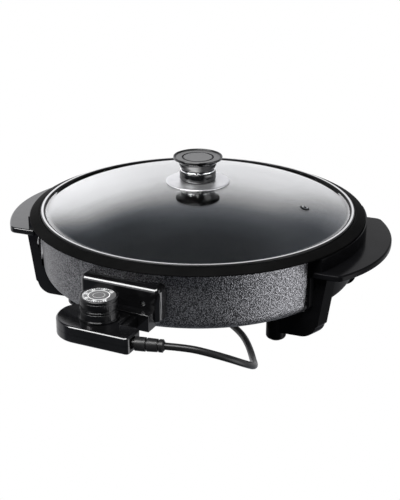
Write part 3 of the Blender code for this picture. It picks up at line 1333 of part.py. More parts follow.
def make_dial(post_top):
    low = CONTROLLER_HEIGHT / 2 + SEAT_GAP
    top = low + DIAL_HEIGHT
    bore_top = top - DIAL_BORE_TOP
    place(turned("dial", dial_profile(low, bore_top), KNOB_STEPS), DIAL_AXIS, KNOB_BLACK)
    face = top - DIAL_FACE_DROP
    disc = [
        (0, face),
        (DIAL_PLATE_R, face),
        (DIAL_PLATE_R, face - DIAL_PLATE_THICKNESS),
        (0, face - DIAL_PLATE_THICKNESS),
    ]
    place(turned("dial_plate", disc, KNOB_STEPS), DIAL_AXIS, DIAL_GREY)
    shaft = [
        (0, bore_top - SEAT_GAP),
        (SHAFT_R, bore_top - SEAT_GAP),
        (SHAFT_R, post_top + SEAT_GAP),
        (0, post_top + SEAT_GAP),
    ]
    place(turned("dial_shaft", shaft, SMALL_STEPS), DIAL_AXIS, BRASS)


def relief_profile():
    """The ribbed sleeve, tip first: three ribs, a neck through the wall and a flange inside."""
    span = RELIEF_LENGTH - RELIEF_START
    rib = span * RELIEF_RIB_SHARE
    gap = RELIEF_GROOVE
    first = RELIEF_START + rib
    second = first + gap + rib
    slim = RELIEF_END_R - gap
    return [
        (0, RELIEF_LENGTH),
        (slim - gap / 2, RELIEF_LENGTH),
        (slim, RELIEF_LENGTH - gap),
        (RELIEF_END_R, RELIEF_LENGTH - gap),
        (RELIEF_END_R, second + gap),
        (slim, second + gap),
        (slim, second),
        (RELIEF_END_R, second),
        ((RELIEF_R + RELIEF_END_R) / 2, first + gap),
        (slim, first + gap),
        (slim, first),
        (RELIEF_R, first),
        (RELIEF_R, RELIEF_START),
        (RELIEF_NECK_R, RELIEF_START),
        (RELIEF_NECK_R, -RELIEF_FLANGE_AT),
        (RELIEF_FLANGE_R, -RELIEF_FLANGE_AT),
        (RELIEF_FLANGE_R, -RELIEF_FLANGE_AT - RELIEF_FLANGE),
        (0, -RELIEF_FLANGE_AT - RELIEF_FLANGE),
    ]


def make_relief():
    relief = place(turned("strain_relief", relief_profile(), FOOT_STEPS), PROBE_AXIS, RUBBER)
    relief.matrix_basis = relief_matrix()


# Cord


def smooth_path(route, per_leg):
    """Points on a Catmull-Rom curve through a route's own points."""
    ends = [Vector(route[0]) * 2 - Vector(route[1]), Vector(route[-1]) * 2 - Vector(route[-2])]
    knots = [ends[0], *[Vector(p) for p in route], ends[1]]
    points = []
    for a, b, c, d in zip(knots, knots[1:], knots[2:], knots[3:]):
        for k in range(per_leg):
            t = k / per_leg
            square = (a * 2 - b * 5 + c * 4 - d) * t**2
            cube = (b * 3 - a - c * 3 + d) * t**3
            points.append((b * 2 + (c - a) * t + square + cube) / 2)
    return [*points, Vector(route[-1])]


def coil_path():
    """A clockwise coil in two layers that spirals in, climbs as it reverses and spirals out."""
    centre = Vector((*COIL_CENTRE, 0))
    count = round(COIL_TURNS * COIL_POINTS_PER_TURN)
    climb_start = (COIL_TURNS - COIL_CLIMB_TURNS) / 2
    points = []
    for i in range(count + 1):
        turn = COIL_TURNS * i / count
        radius = COIL_START_R - COIL_PITCH * min(turn, COIL_TURNS - turn)
        climb = min(max((turn - climb_start) / COIL_CLIMB_TURNS, 0), 1)
        z = CORD_R + FLOOR_GAP + COIL_PITCH * climb**2 * (3 - 2 * climb)
        angle = -math.pi / 2 - TURN * turn
        points.append(centre + Vector((radius * math.cos(angle), radius * math.sin(angle), z)))
    straight = 2 * CORD_R
    first = points[0] + Vector((straight, 0, 0))
    last = points[-1] + Vector((straight, 0, 0))
    return [first, *points, last]


def least_self_gap(points, diameter):
    """The least distance between stretches over one turn's quarter apart, less the diameter."""
    along = [0.0]
    for a, b in zip(points, points[1:]):
        along.append(along[-1] + (b - a).length)
    least = None
    for i, a in enumerate(points):
        for j in range(i + 1, len(points)):
            if along[j] - along[i] > 4 * diameter:
                gap = (points[j] - a).length - diameter
                least = gap if least is None else min(least, gap)
    return least


def path_length(points):
    return sum((b - a).length for a, b in zip(points, points[1:]))


def cord_piece(name, points, resolution):
    guide = tube_curve(name, points, CORD_R, resolution)
    curve = guide.data
    bpy.data.objects.remove(guide)
    obj = solid_from_curve(name, curve, Matrix.Identity(4))
    return place(obj, None, CORD_BLACK)


def make_cord():
    lead = smooth_path(LEAD_ROUTE, CORD_POINTS_PER_LEG)
    tail = smooth_path(TAIL_ROUTE, CORD_POINTS_PER_LEG)
    coil = coil_path()
    cord_piece("power_cord", lead, 2)
    cord_piece("cord_coil", coil, 1)
    cord_piece("cord_tail", tail, 2)
    length = path_length(lead) + path_length(coil) + path_length(tail)
    gap = least_self_gap(coil, 2 * CORD_R)
    print(f"cord length {length:.3f} m, least gap of the coil to itself {gap / MM:.2f} mm")


# Plug


def make_plug():
    """A moulded plug lying on its side, its cord end towards -X."""
    y = COIL_CENTRE[1] + COIL_START_R
    middle = PLUG_WIDTH / 2
    half = PLUG_WIDTH / 2
    body = box("plug_body", (PLUG_X, y - half, 0), (PLUG_X + PLUG_LENGTH, y + half, PLUG_WIDTH))
    place(body, None, RUBBER)
    soften(body, PLUG_ROUND)
    relief = turned(
        "plug_relief",
        [
            (0, PLUG_RELIEF_LENGTH),
            (PLUG_RELIEF_TIP_R, PLUG_RELIEF_LENGTH),
            (PLUG_RELIEF_R, -OVERRUN),
            (0, -OVERRUN),
        ],
        SMALL_STEPS,
    )
    place(relief, None)
    relief.location = (PLUG_X, y, middle)
    relief.rotation_euler = (0, -math.pi / 2, 0)
    join(body, relief)
    face = PLUG_X + PLUG_LENGTH
    blade_z = middle + BLADE_RISE
    half_t = BLADE_THICKNESS / 2
    half_w = BLADE_WIDTH / 2
    gap = SEAT_GAP
    seats = []
    for side, dy in (("left", BLADE_PITCH_HALF), ("right", -BLADE_PITCH_HALF)):
        low = Vector((face - BLADE_SEAT, y + dy - half_t, blade_z - half_w))
        high = Vector((face + BLADE_LENGTH, y + dy + half_t, blade_z + half_w))
        blade = place(box("plug_blade_" + side, low, high), None, BRASS)
        soften(blade, half_t / 2, 1)
        margin = Vector((gap, gap, gap))
        seats.append((low - margin, Vector((face + OVERRUN, high.y + gap, high.z + gap))))
    cut(body, place(boxes("blade_seats", seats), None))
    earth_z = middle - EARTH_DROP
    seat = [((face - BLADE_SEAT - gap, y, earth_z), (face + OVERRUN, y, earth_z))]
    cut(body, place(rods("earth_seat", EARTH_R + gap, SMALL_STEPS, seat), None))
    profile = [
        (0, EARTH_LENGTH + BLADE_SEAT),
        (EARTH_R / 2, EARTH_LENGTH + BLADE_SEAT),
        (EARTH_R, EARTH_LENGTH + BLADE_SEAT - EARTH_R / 2),
        (EARTH_R, 0),
        (0, 0),
    ]
    earth = place(turned("plug_earth_pin", profile, SMALL_STEPS), None, BRASS)
    earth.location = (face - BLADE_SEAT, y, earth_z)
    earth.rotation_euler = (0, math.pi / 2, 0)


make_pan()
make_base_plate()
make_element()
make_clips()
make_handles()
make_lid()
make_knob()
make_block()
make_dial(make_controller())
make_relief()
make_cord()
make_plug()
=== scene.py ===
# Round electric skillet with a glass lid, its controller and its cord, dressed for a studio picture.
# Metres, +Z up. The floor is z = 0, the handles lie along X and the controller faces -Y.
# Sizes repeat those of the model, so that every piece sits where its solid does.

import math

import bmesh
import bpy
from mathutils import Matrix, Vector


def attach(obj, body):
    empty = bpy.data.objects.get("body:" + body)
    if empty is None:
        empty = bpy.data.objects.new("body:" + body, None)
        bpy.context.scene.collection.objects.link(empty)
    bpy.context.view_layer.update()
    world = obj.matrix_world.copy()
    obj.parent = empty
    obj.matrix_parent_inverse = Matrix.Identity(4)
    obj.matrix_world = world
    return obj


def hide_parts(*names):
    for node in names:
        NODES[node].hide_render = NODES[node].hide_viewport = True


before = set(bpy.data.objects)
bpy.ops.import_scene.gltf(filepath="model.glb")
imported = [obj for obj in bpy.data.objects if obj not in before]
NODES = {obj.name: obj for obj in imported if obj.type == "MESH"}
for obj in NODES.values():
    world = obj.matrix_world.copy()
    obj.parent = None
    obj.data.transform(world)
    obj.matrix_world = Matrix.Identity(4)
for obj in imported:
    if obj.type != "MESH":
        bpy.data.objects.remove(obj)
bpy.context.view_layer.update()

MM = 0.001
DEG = math.pi / 180
TURN = 2 * math.pi
OVERRUN = 3 * MM
SEAT_GAP = 0.3 * MM
WALL_GAP = 0.6 * MM
HOLE_GAP = 0.35 * MM
FINE_STEPS = 216
KNOB_STEPS = 144
FOOT_STEPS = 72
SMALL_STEPS = 48
ROD_STEPS = 40
TURNING_PITCH = 1.1 * MM
EASE_LIMIT = 0.45
SIDES = (("left", -1), ("right", 1))
SCREW_EDGE = 0.6 * MM
SHARP_ANGLE = 32 * DEG

# Pan
PAN_WALL_R = 194.9 * MM
PAN_SKIRT_R = 193.4 * MM
SKIRT_WALL = 3 * MM
PAN_CORNER_R = 15 * MM
PAN_CLEARANCE = 41.3 * MM
LIP_WIDTH = 12 * MM
FLOOR_UNDER_Z = 68 * MM
FLOOR_TOP_Z = 72 * MM
LEDGE_Z = 116.9 * MM
PAN_INNER_R = 190.9 * MM
LEDGE_R = 195.6 * MM
LIP_THICKNESS = 2 * MM
LIP_TOP_Z = 121.8 * MM
FLANGE_R = 208 * MM
FLANGE_ROUND = 0.6 * MM
FLANGE_LOW_Z = 116 * MM
FLANGE_TOP_Z = 117.9 * MM
FLANGE_ROOT_WIDTH = 2.6 * MM
FLANGE_ROOT_DROP = 3.4 * MM
FLANGE_SLOPE = 0.1 * MM
FLANGE_EASE = 0.8 * MM
LIP_EASE = 0.5 * MM
LEDGE_EASE = 0.4 * MM
ROOT_EASE = 1.2 * MM
WALL_EASE = 2 * MM
WALL_TOP_Z = 111.3 * MM
INNER_CORNER_R = 12 * MM
CORNER_CENTRE_R = PAN_SKIRT_R - PAN_CORNER_R
CORNER_CENTRE_Z = PAN_CLEARANCE + PAN_CORNER_R
LIP_EDGE_R = CORNER_CENTRE_R - LIP_WIDTH
PLUG_IN_Z = 63.7 * MM
SLOT_HALF = 20 * MM
SLOT_REACH = 5 * MM
BASE_PLATE_R = 177 * MM
BASE_PLATE_TOP_Z = 41 * MM
BASE_PLATE_LOW_Z = 40 * MM
BASE_BEADS = (168 * MM, 120 * MM, 64 * MM)
BEAD_HALF = 4 * MM
BEAD_FLAT_HALF = 2 * MM
BEAD_HEIGHT = 0.3 * MM
ARM_TOP_Z = 39.7 * MM

# Handles
HANDLE_REACH = 242.7 * MM
WING_EDGE_R = 169.1 * MM
WING_HALF_WIDTH = 100 * MM
WING_CORNER_R = 11 * MM
WING_TOP_Z = 99.7 * MM
WING_THICKNESS = 7.5 * MM
WING_ROUND = 2 * MM
WING_ROOT_X = 178 * MM
RISER_R = 210 * MM
RISER_HALF_WIDTH = 95 * MM
RISER_DROP = 9.2 * MM
WALL_PLATE_THICKNESS = 2.5 * MM
LEG_OUTER_TOP_R = 214 * MM
LEG_OUTER_FOOT_R = 202.5 * MM
LEG_CORNER_R = 16 * MM
LEG_BOTTOM_Z = 12.5 * MM
LEG_FRONT_Y = 90 * MM
LEG_THICKNESS = 16 * MM
LEG_ROUND = 0.9 * MM
WINDOW_TOP_R = 201 * MM
WINDOW_TOP_Z = 80 * MM
WINDOW_BOTTOM_Z = 50 * MM
FOOT_X = 131 * MM
FOOT_Y = 80 * MM
FOOT_R = 12 * MM
FOOT_ROUND = 4 * MM
FOOT_TOP_STEP = 0.8 * MM
POST_LOW_Z = 1.2 * MM
PAD_R = 8 * MM
PAD_HEIGHT = 3.2 * MM
PAD_EASE = 0.8 * MM
PAD_GROOVE = 0.4 * MM
PAD_GROOVE_SHARES = (0.66, 0.33)
HANDLE_SCREW_X = 151 * MM
HANDLE_SCREW_Y = 82 * MM
HANDLE_SCREW_SEAT = 13.5 * MM
HANDLE_SCREW_LENGTH = 28 * MM
BASE_SCREW_LENGTH = 11 * MM

# Screws
SHANK_R = 2 * MM
HEAD_R = 4.2 * MM
HEAD_HEIGHT = 2.6 * MM
SMALL_SHANK_R = 1.4 * MM
SMALL_HEAD_R = 3 * MM
SMALL_HEAD_HEIGHT = 1.8 * MM
HEAD_SIDE = (0.45, 0.25)
HEAD_CROWN = (0.78, 0.04, 0.2)
LARGE_SCREW = (SHANK_R, HEAD_R, HEAD_HEIGHT)
SMALL_SCREW = (SMALL_SHANK_R, SMALL_HEAD_R, SMALL_HEAD_HEIGHT)
CROSS_HALF_WIDTH = 0.35 * MM
CROSS_DEPTH = 1.1 * MM
CROSS_SHARE = 0.62

# Lid and knob
LID_RIM_R = 194.6 * MM
LID_RIM_INNER_R = 189.9 * MM
LID_RIM_SHEET = 0.7 * MM
LID_RIM_BEND = 3.2 * MM
RIM_LOW_Z = 117.2 * MM
RIM_TOP_Z = 124.4 * MM
GASKET_INNER_R = 188.6 * MM
GASKET_SHEET = 0.5 * MM
GASKET_BEND = 2.1 * MM
GASKET_LOW_Z = 118.2 * MM
GASKET_TOP_Z = 123.4 * MM
GASKET_OUTER_R = LID_RIM_R - LID_RIM_SHEET - SEAT_GAP
GLASS_R = GASKET_OUTER_R - GASKET_SHEET - SEAT_GAP
GLASS_THICKNESS = 3.6 * MM
GLASS_EDGE_LOW_Z = 119 * MM
GLASS_EDGE_TOP_Z = 122.6 * MM
GLASS_RISE = 33.8 * MM
GLASS_TOP_Z = GLASS_EDGE_TOP_Z + GLASS_RISE
GLASS_FLAT = 6.6 * MM
GLASS_HOLE_R = 4.5 * MM
DOME_R = GLASS_R - GLASS_FLAT
DOME_BALL_R = (DOME_R**2 + GLASS_RISE**2) / (2 * GLASS_RISE)
DOME_POINTS = 40
DOME_EASE = 3 * MM
# The lid ring is left steel only along this band of its crown; the rest of it is painted black as shade.
RING_CROWN_R = 192.2 * MM
RING_CROWN_HALF = 1.25 * MM
RING_CROWN_DEPTH = 1.1 * MM
VENT_R = 138 * MM
VENT_HOLE_R = 3.6 * MM
VENT_HEAD_R = 5.5 * MM
VENT_BORE_R = 2.1 * MM
VENT_HEAD = 1.1 * MM
VENT_LIP = 0.9 * MM
VENT_EASE = 0.3 * MM
VENT_BORE_EASE = 0.4 * MM
VENT_LIP_EASE = 0.5 * MM
# The eyelet's top is steel only between these radii; the bore's wall, the outer edge and the underside
# are painted black as shade.
VENT_DARK_R = (VENT_BORE_R + 0.2 * MM, VENT_HEAD_R - 1.2 * MM)
BEZEL_R = 39.4 * MM
BEZEL_SHEET = 0.8 * MM
BEZEL_EDGE_HEIGHT = 1.4 * MM
BEZEL_SHOULDER_R = 24 * MM
BEZEL_SHOULDER_EASE = 3 * MM
BEZEL_EDGE_EASE = 1.2 * MM
BEZEL_RIM_EASE = 0.5 * MM
COLLAR_R = 22.5 * MM
COLLAR_HEIGHT = 11.4 * MM
COLLAR_ROUND = 2 * MM
COLLAR_FOOT_EASE = 3.2 * MM
BAND_R = 21.6 * MM
BAND_HEIGHT = 2 * MM
BAND_EASE = 0.48 * BAND_HEIGHT
CUP_BOTTOM_R = 20.3 * MM
CUP_HEIGHT = 15.8 * MM
CUP_RIM_R = 30.4 * MM
CUP_RIM_WIDTH = 1.8 * MM
CUP_FACE_DROP = 1.5 * MM
CUP_SIDE = ((0.0, 0.0), (0.22, 0.28), (0.39, 0.53), (0.7, 0.73), (0.97, 0.83))
CUP_SIDE_POINTS = 8
CUP_FACE_EASES = (0.3 * MM, 0.5 * MM)
CUP_RIM_EASES = (0.7 * MM, 0.8 * MM, 0.6 * MM)
CUP_GLOSS_WIDTH = 0.9 * MM
# Widths of the black painted as shade along the inner and outer edges of the knob's face
FACE_SHADE_IN = 0.8 * MM
FACE_SHADE_OUT = 1.4 * MM
PAINT_SLACK = 0.05 * MM
CAP_R = 18.1 * MM
# Width of the black painted as shade round the edge of the knob's disc
CAP_SHADE_WIDTH = 0.8 * MM
CAP_EASE = 0.4 * MM
CAP_GROOVE = 1.3 * MM
CAP_THICKNESS = 2.2 * MM
KNOB_SCREW_DEPTH = 6 * MM

# Guard and controller
SOCKET_TURN = -4 * DEG
BLOCK_HALF_WIDTH = 51 * MM
BLOCK_BOTTOM_Z = 57 * MM
BLOCK_TOP_Z = 101 * MM
BLOCK_REACH = 11.1 * MM
BLOCK_ROUND = 6.5 * MM
BLOCK_BULGE = 0.42
SHROUD_WALL = 3.2 * MM
SHROUD_SIDE = 13.7 * MM
SHROUD_REACH = 13.4 * MM
WEB_THICKNESS = 3.6 * MM
BLOCK_SCREW_X = 30 * MM
BLOCK_SCREW_Z = 80 * MM
BLOCK_SCREW_SEAT = 3.2 * MM
BLOCK_SCREW_LENGTH = 8 * MM
PIN_PITCH_HALF = 14 * MM
PIN_R = 2.4 * MM
PIN_LENGTH = 23 * MM
PIN_TIP_EASE = 1.6 * MM
ELEMENT_TUBE_R = 4 * MM
ELEMENT_END_REACH = 0.8 * MM
PROBE_R = 3 * MM
PROBE_REACH = 70 * MM
PROBE_TIP_EASE = 1.8 * MM
CONTROLLER_LEFT = 52.5 * MM
CONTROLLER_RIGHT = 50.4 * MM
CONTROLLER_DEPTH = 57.8 * MM
CONTROLLER_STEP = 28.5 * MM
CONTROLLER_STEP_X = 24 * MM
CONTROLLER_HEIGHT = 20 * MM
CONTROLLER_STANDOFF = 1 * MM
CONTROLLER_WALL = 2.4 * MM
CONTROLLER_ROUND = 2 * MM
CONTROLLER_EDGE = 4 * MM
CONTROLLER_BULGE = 0.34
CONTROLLER_LEFT_R = 34 * MM
CONTROLLER_LEFT_BACK_R = 21 * MM
CONTROLLER_RIGHT_R = 5 * MM
NOSE_HALF_WIDTH = 30 * MM
NOSE_HEIGHT = 13 * MM
NOSE_END_GAP = 1 * MM
SLEEVE_WALL = 1.1 * MM
SWITCH_HALF_DEPTH = 11 * MM
HOUSING_SCREW_SEAT = 1.6 * MM
HOUSING_SCREW_LENGTH = 12 * MM
HOUSING_SCREW_INSET = 14 * MM
HOUSING_SCREW_RIGHT_INSET = 19.4 * MM
BLOCK_FACE_Y = -(PAN_WALL_R + BLOCK_REACH)
WEB_FACE_Y = -(PAN_WALL_R + WALL_GAP + WEB_THICKNESS)
SHROUD_END_Y = BLOCK_FACE_Y - SHROUD_REACH
CONTROLLER_BACK_Y = SHROUD_END_Y - CONTROLLER_STANDOFF
CONTROLLER_FRONT_Y = CONTROLLER_BACK_Y - CONTROLLER_DEPTH
CONTROLLER_STEP_Y = CONTROLLER_BACK_Y - CONTROLLER_STEP
NOSE_END_Y = WEB_FACE_Y - NOSE_END_GAP

# Dial and strain relief
DIAL_X = -3.2 * MM
DIAL_SETBACK = 34.6 * MM
DIAL_Y = CONTROLLER_FRONT_Y + DIAL_SETBACK
DIAL_R = 21.4 * MM
DIAL_HEIGHT = 26 * MM
DIAL_BASE_HEIGHT = 2.2 * MM
DIAL_BASE_EXTRA = 1 * MM
DIAL_GROOVE = 1.1 * MM
DIAL_RIB = 1.4 * MM
DIAL_RIM_HEIGHT = 2.6 * MM
DIAL_BEVEL = 0.8 * MM
DIAL_PLATE_R = 18.6 * MM
DIAL_PLATE_THICKNESS = 0.8 * MM
DIAL_FACE_DROP = 0.3 * MM
DIAL_BORE_TOP = 6 * MM
DIAL_TEETH = 72
DIAL_TOOTH_BAND = 0.9 * MM
DIAL_TOOTH_DEPTH = 0.22 * MM
DIAL_EASE = 0.35 * MM
DIAL_PLATE_EASE = 0.2 * MM
SHAFT_R = 3 * MM
PRINT_THICKNESS = 0.06 * MM
PRINT_MARGIN = 0.5 * MM
PRINT_START = 55 * DEG
TICKS = 31
TICK_TURN = 9 * DEG
TICK_SIZE = (1.9 * MM, 0.6 * MM)
LONG_TICK_SIZE = (2.4 * MM, 0.95 * MM)
TICKS_PER_LABEL = 5
LABELS = ("OFF", "150", "200", "250", "300", "350", "400")
LABEL_SIZE = 3.3 * MM
LABEL_INSET = 3.9 * MM
PRINT_RINGS = (("dial_ring", 11.4 * MM, 0.7 * MM), ("dial_inner_ring", 6.4 * MM, 0.3 * MM))
# A white mark beside the dial's foot, a painted highlight where a glint falls
GLINT_MARK_TURN = 200 * DEG
GLINT_MARK_GAP = 5.2 * MM
GLINT_MARK_HALF_WIDTH = 0.9 * MM
GLINT_MARK_LENGTH = 2.6 * MM
RELIEF_SETBACK = 11.9 * MM
RELIEF_Y = CONTROLLER_FRONT_Y + RELIEF_SETBACK
RELIEF_TURN = 14 * DEG
RELIEF_LENGTH = 34 * MM
RELIEF_R = 7.75 * MM
RELIEF_END_R = 7.1 * MM
RELIEF_GROOVE = 1.5 * MM
RELIEF_EASE = 0.4 * MM
RELIEF_NECK_R = 5 * MM
RELIEF_FLANGE_R = 6.8 * MM
RELIEF_FLANGE = 3.3 * MM
RELIEF_RIB_SHARE = 0.36
RELIEF_START = RELIEF_R * math.tan(RELIEF_TURN) + SEAT_GAP
RELIEF_FLANGE_AT = RELIEF_FLANGE_R * math.tan(RELIEF_TURN) + CONTROLLER_WALL + 2 * SEAT_GAP

# Cord and plug
CORD_R = 4 * MM
CORD_POINTS_PER_LEG = 3
COIL_TURNS = 3.5
COIL_START_R = 49.5 * MM
COIL_PITCH = 8.8 * MM
COIL_CLIMB_TURNS = 0.5
COIL_POINTS_PER_TURN = 40
COIL_CENTRE = (-40 * MM, 46.4 * MM)
FLOOR_GAP = 0.05 * MM
CORD_IN_PLUG = 2.5 * MM
PLUG_LENGTH = 38 * MM
PLUG_WIDTH = 26 * MM
PLUG_ROUND = 4 * MM
PLUG_X = 25 * MM
PLUG_RELIEF_LENGTH = 18 * MM
PLUG_RELIEF_R = 7.5 * MM
PLUG_RELIEF_TIP_R = 5.4 * MM
PLUG_RIB_STEPS = 6
PLUG_RIB_EDGE = 0.6 * MM
PLUG_RIB_FOOT = 0.4 * MM
PLUG_RIB_DEPTH = 0.9 * MM
GRIP_GROOVES = 5
GRIP_START = 9 * MM
GRIP_PITCH = 3.2 * MM
GRIP_WIDTH = 1.2 * MM
GRIP_DEPTH = 0.5 * MM
GRIP_LOW_Z = 6 * MM
GRIP_TOP_Z = 20 * MM
BLADE_WIDTH = 6.35 * MM
BLADE_THICKNESS = 1.5 * MM
BLADE_PITCH_HALF = 6.35 * MM
BLADE_RISE = 5.5 * MM
BLADE_SEAT = 6 * MM
EARTH_R = 2.4 * MM
EARTH_DROP = 6.4 * MM
LEAD_ROUTE = (
    (0.0654, -0.2268, 0.0637), (0.0811, -0.2240, 0.0636), (0.0970, -0.2209, 0.0625),
    (0.1140, -0.2151, 0.0580), (0.1290, -0.2036, 0.0495), (0.1385, -0.1876, 0.0385),
    (0.1415, -0.1696, 0.0275), (0.1395, -0.1516, 0.0178), (0.1340, -0.1336, 0.0100),
    (0.1265, -0.1156, 0.0055), (0.1180, -0.0976, 0.0041), (0.1080, -0.0796, 0.0041),
    (0.0960, -0.0616, 0.0041), (0.0815, -0.0456, 0.0041), (0.0640, -0.0311, 0.0041),
    (0.0440, -0.0191, 0.0041), (0.0215, -0.0101, 0.0041), (-0.0030, -0.0047, 0.0041),
    (-0.0210, -0.0033, 0.00405), (-0.0317, -0.0031, 0.00405),
)
TAIL_ROUTE = (
    (-0.0317, 0.0959, 0.01285), (-0.0230, 0.0960, 0.0127), (-0.0120, 0.0963, 0.0124),
    (-0.0010, 0.0965, 0.0126), (0.0067, 0.0965, 0.0130),
)

# Frames of the pan, the socket, the probe, the dial and the strain relief


def at(x, y, z):
    return Matrix.Translation((x, y, z))


def spun(angle, axis="Z"):
    return Matrix.Rotation(angle, 4, axis)


PAN_Y = 36.35072121948363 * MM
PAN = at(0, PAN_Y, 0)
SOCKET = PAN @ spun(SOCKET_TURN)
PROBE = SOCKET @ at(0, 0, PLUG_IN_Z)
DIAL = PROBE @ at(DIAL_X, DIAL_Y, 0)
RELIEF = (
    PROBE
    @ at(CONTROLLER_RIGHT, RELIEF_Y, 0)
    @ spun(RELIEF_TURN)
    @ spun(math.pi / 2, "Y")
)


# Camera

CAMERA_PLACE = (0.4861, -1.22145, 0.6162)
CAMERA_PITCH = 22.32 * DEG
CAMERA_TURN = 21 * DEG
CAMERA_ROLL = 0.21 * DEG
FOCAL_SHARE = 2.3
SENSOR = 24


def add(name, data):
    obj = bpy.data.objects.new(name, data)
    bpy.context.scene.collection.objects.link(obj)
    return obj


def make_camera():
    data = bpy.data.cameras.new("camera")
    data.sensor_fit = "VERTICAL"
    data.sensor_height = SENSOR
    data.lens = SENSOR * FOCAL_SHARE
    camera = add("camera", data)
    turn = spun(CAMERA_TURN)
    pitch = spun(math.pi / 2 - CAMERA_PITCH, "X")
    roll = spun(CAMERA_ROLL)
    camera.matrix_world = at(*CAMERA_PLACE) @ turn @ pitch @ roll
    bpy.context.scene.camera = camera


make_camera()


# Mesh tools


def from_bm(name, bm, matrix):
    """A mesh object with its points moved by the matrix and its faces smooth."""
    bmesh.ops.transform(bm, matrix=matrix, verts=bm.verts)
    bmesh.ops.recalc_face_normals(bm, faces=bm.faces)
    for face in bm.faces:
        face.smooth = True
    mesh = bpy.data.meshes.new(name)
    bm.to_mesh(mesh)
    bm.free()
    mesh.set_sharp_from_angle(angle=SHARP_ANGLE)
    return add(name, mesh)


def eased(profile, steps=4, closed=False):
    """A profile whose points may carry a third number, the reach of a rounding at that corner."""
    points = []
    count = len(profile)
    for i, point in enumerate(profile):
        here = Vector(point[:2])
        if len(point) < 3 or (not closed and i in (0, count - 1)):
            points.append(tuple(here))
            continue
        before = Vector(profile[i - 1][:2]) - here
        after = Vector(profile[(i + 1) % count][:2]) - here
        reach = min(point[2], before.length * EASE_LIMIT, after.length * EASE_LIMIT)
        start = here + before.normalized() * reach
        end = here + after.normalized() * reach
        for k in range(steps + 1):
            t = k / steps
            points.append(tuple(start * (1 - t) ** 2 + here * (2 * t * (1 - t)) + end * t**2))
    return points


def arc(centre, radius, start, end, steps):
    """Points from one angle to another, both ends included."""
    angles = [start + (end - start) * i / steps for i in range(steps + 1)]
    return [(centre[0] + radius * math.cos(a), centre[1] + radius * math.sin(a)) for a in angles]


def lathe(name, profile, steps, matrix, closed=False, paint=None, wobble=None):
    """A profile in (radius, height) turned about Z. paint gives a face's material from its middle,
    wobble a point's radius from its radius, height and angle."""
    bm = bmesh.new()
    rings = []
    for r, z in profile:
        if r < 1e-7:
            rings.append([bm.verts.new((0, 0, z))])
            continue
        ring = []
        for i in range(steps):
            a = TURN * i / steps
            radius = wobble(r, z, a) if wobble else r
            ring.append(bm.verts.new((radius * math.cos(a), radius * math.sin(a), z)))
        rings.append(ring)
    pairs = list(zip(rings, rings[1:]))
    if closed:
        pairs.append((rings[-1], rings[0]))
    for upper, lower in pairs:
        for i in range(steps):
            j = (i + 1) % steps
            corners = []
            for ring, k in ((upper, i), (lower, i), (lower, j), (upper, j)):
                vert = ring[k % len(ring)] if len(ring) > 1 else ring[0]
                if vert not in corners:
                    corners.append(vert)
            face = bm.faces.new(corners)
            if paint:
                middle = sum((v.co for v in corners), Vector()) / len(corners)
                face.material_index = paint(middle.xy.length, middle.z)
    return from_bm(name, bm, matrix)


def slab(name, outline, low, high, matrix=Matrix.Identity(4)):
    """A flat outline between two heights."""
    bm = bmesh.new()
    below = [bm.verts.new((x, y, low)) for x, y in outline]
    above = [bm.verts.new((x, y, high)) for x, y in outline]
    bm.faces.new(reversed(below))
    bm.faces.new(above)
    count = len(outline)
    for i in range(count):
        j = (i + 1) % count
        bm.faces.new((below[i], below[j], above[j], above[i]))
    return from_bm(name, bm, matrix)


def boxes(name, corners, matrix=Matrix.Identity(4)):
    """Boxes, each between two opposite corners, as one mesh."""
    bm = bmesh.new()
    for one, other in corners:
        size = [abs(a - b) for a, b in zip(one, other)]
        middle = (Vector(one) + Vector(other)) / 2
        place = at(*middle) @ Matrix.Diagonal((*size, 1))
        bmesh.ops.create_cube(bm, size=1.0, matrix=place)
    return from_bm(name, bm, matrix)


def rods(name, radius, ends, matrix=Matrix.Identity(4)):
    """Round rods of one radius, each between two points, as one mesh."""
    bm = bmesh.new()
    sizes = {"segments": ROD_STEPS, "radius1": radius, "radius2": radius}
    for start, end in ends:
        axis = Vector(end) - Vector(start)
        turn = Vector((0, 0, 1)).rotation_difference(axis).to_matrix().to_4x4()
        place = at(*(Vector(start) + Vector(end)) / 2) @ turn
        bmesh.ops.create_cone(bm, cap_ends=True, depth=axis.length, matrix=place, **sizes)
    return from_bm(name, bm, matrix)


def shown_mesh(obj):
    """A copy of the object's mesh as its modifiers or its curve show it."""
    bpy.context.view_layer.update()
    graph = bpy.context.evaluated_depsgraph_get()
    return bpy.data.meshes.new_from_object(obj.evaluated_get(graph))


def applied(obj):
    """The object with its modifiers made part of its mesh."""
    mesh = shown_mesh(obj)
    obj.modifiers.clear()
    old = obj.data
    obj.data = mesh
    bpy.data.meshes.remove(old)
    return obj


def combine(obj, operation, *others):
    """The object joined with, cut by or kept within others, which are then gone."""
    for other in others:
        boolean = obj.modifiers.new("combine", "BOOLEAN")
        boolean.operation = operation
        boolean.object = other
        boolean.solver = "EXACT"
    applied(obj)
    for other in others:
        bpy.data.objects.remove(other)
    return obj


def cut(obj, *others):
    return combine(obj, "DIFFERENCE", *others)


def soften(obj, width, segments=4, angle=35 * DEG, profile=0.5):
    bevel = obj.modifiers.new("soften", "BEVEL")
    bevel.width = width
    bevel.segments = segments
    bevel.limit_method = "ANGLE"
    bevel.angle_limit = angle
    bevel.profile = profile
    return applied(obj)


def smoothed(obj):
    """Even shading over cut and rounded faces, with hard edges kept."""
    for polygon in obj.data.polygons:
        polygon.use_smooth = True
    obj.data.set_sharp_from_angle(angle=SHARP_ANGLE)
    weigh = obj.modifiers.new("weigh", "WEIGHTED_NORMAL")
    weigh.keep_sharp = True
    return applied(obj)


def dress(obj, materials, body, slot, *nodes):
    """Gives a piece its materials, the body it rides on and the nodes that it stands for."""
    if not isinstance(materials, (list, tuple)):
        materials = [materials]
    while len(obj.data.materials) < len(materials):
        obj.data.materials.append(None)
    for i, material in enumerate(materials):
        obj.data.materials[i] = material
    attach(obj, body)
    if nodes:
        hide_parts(*nodes)
    return obj


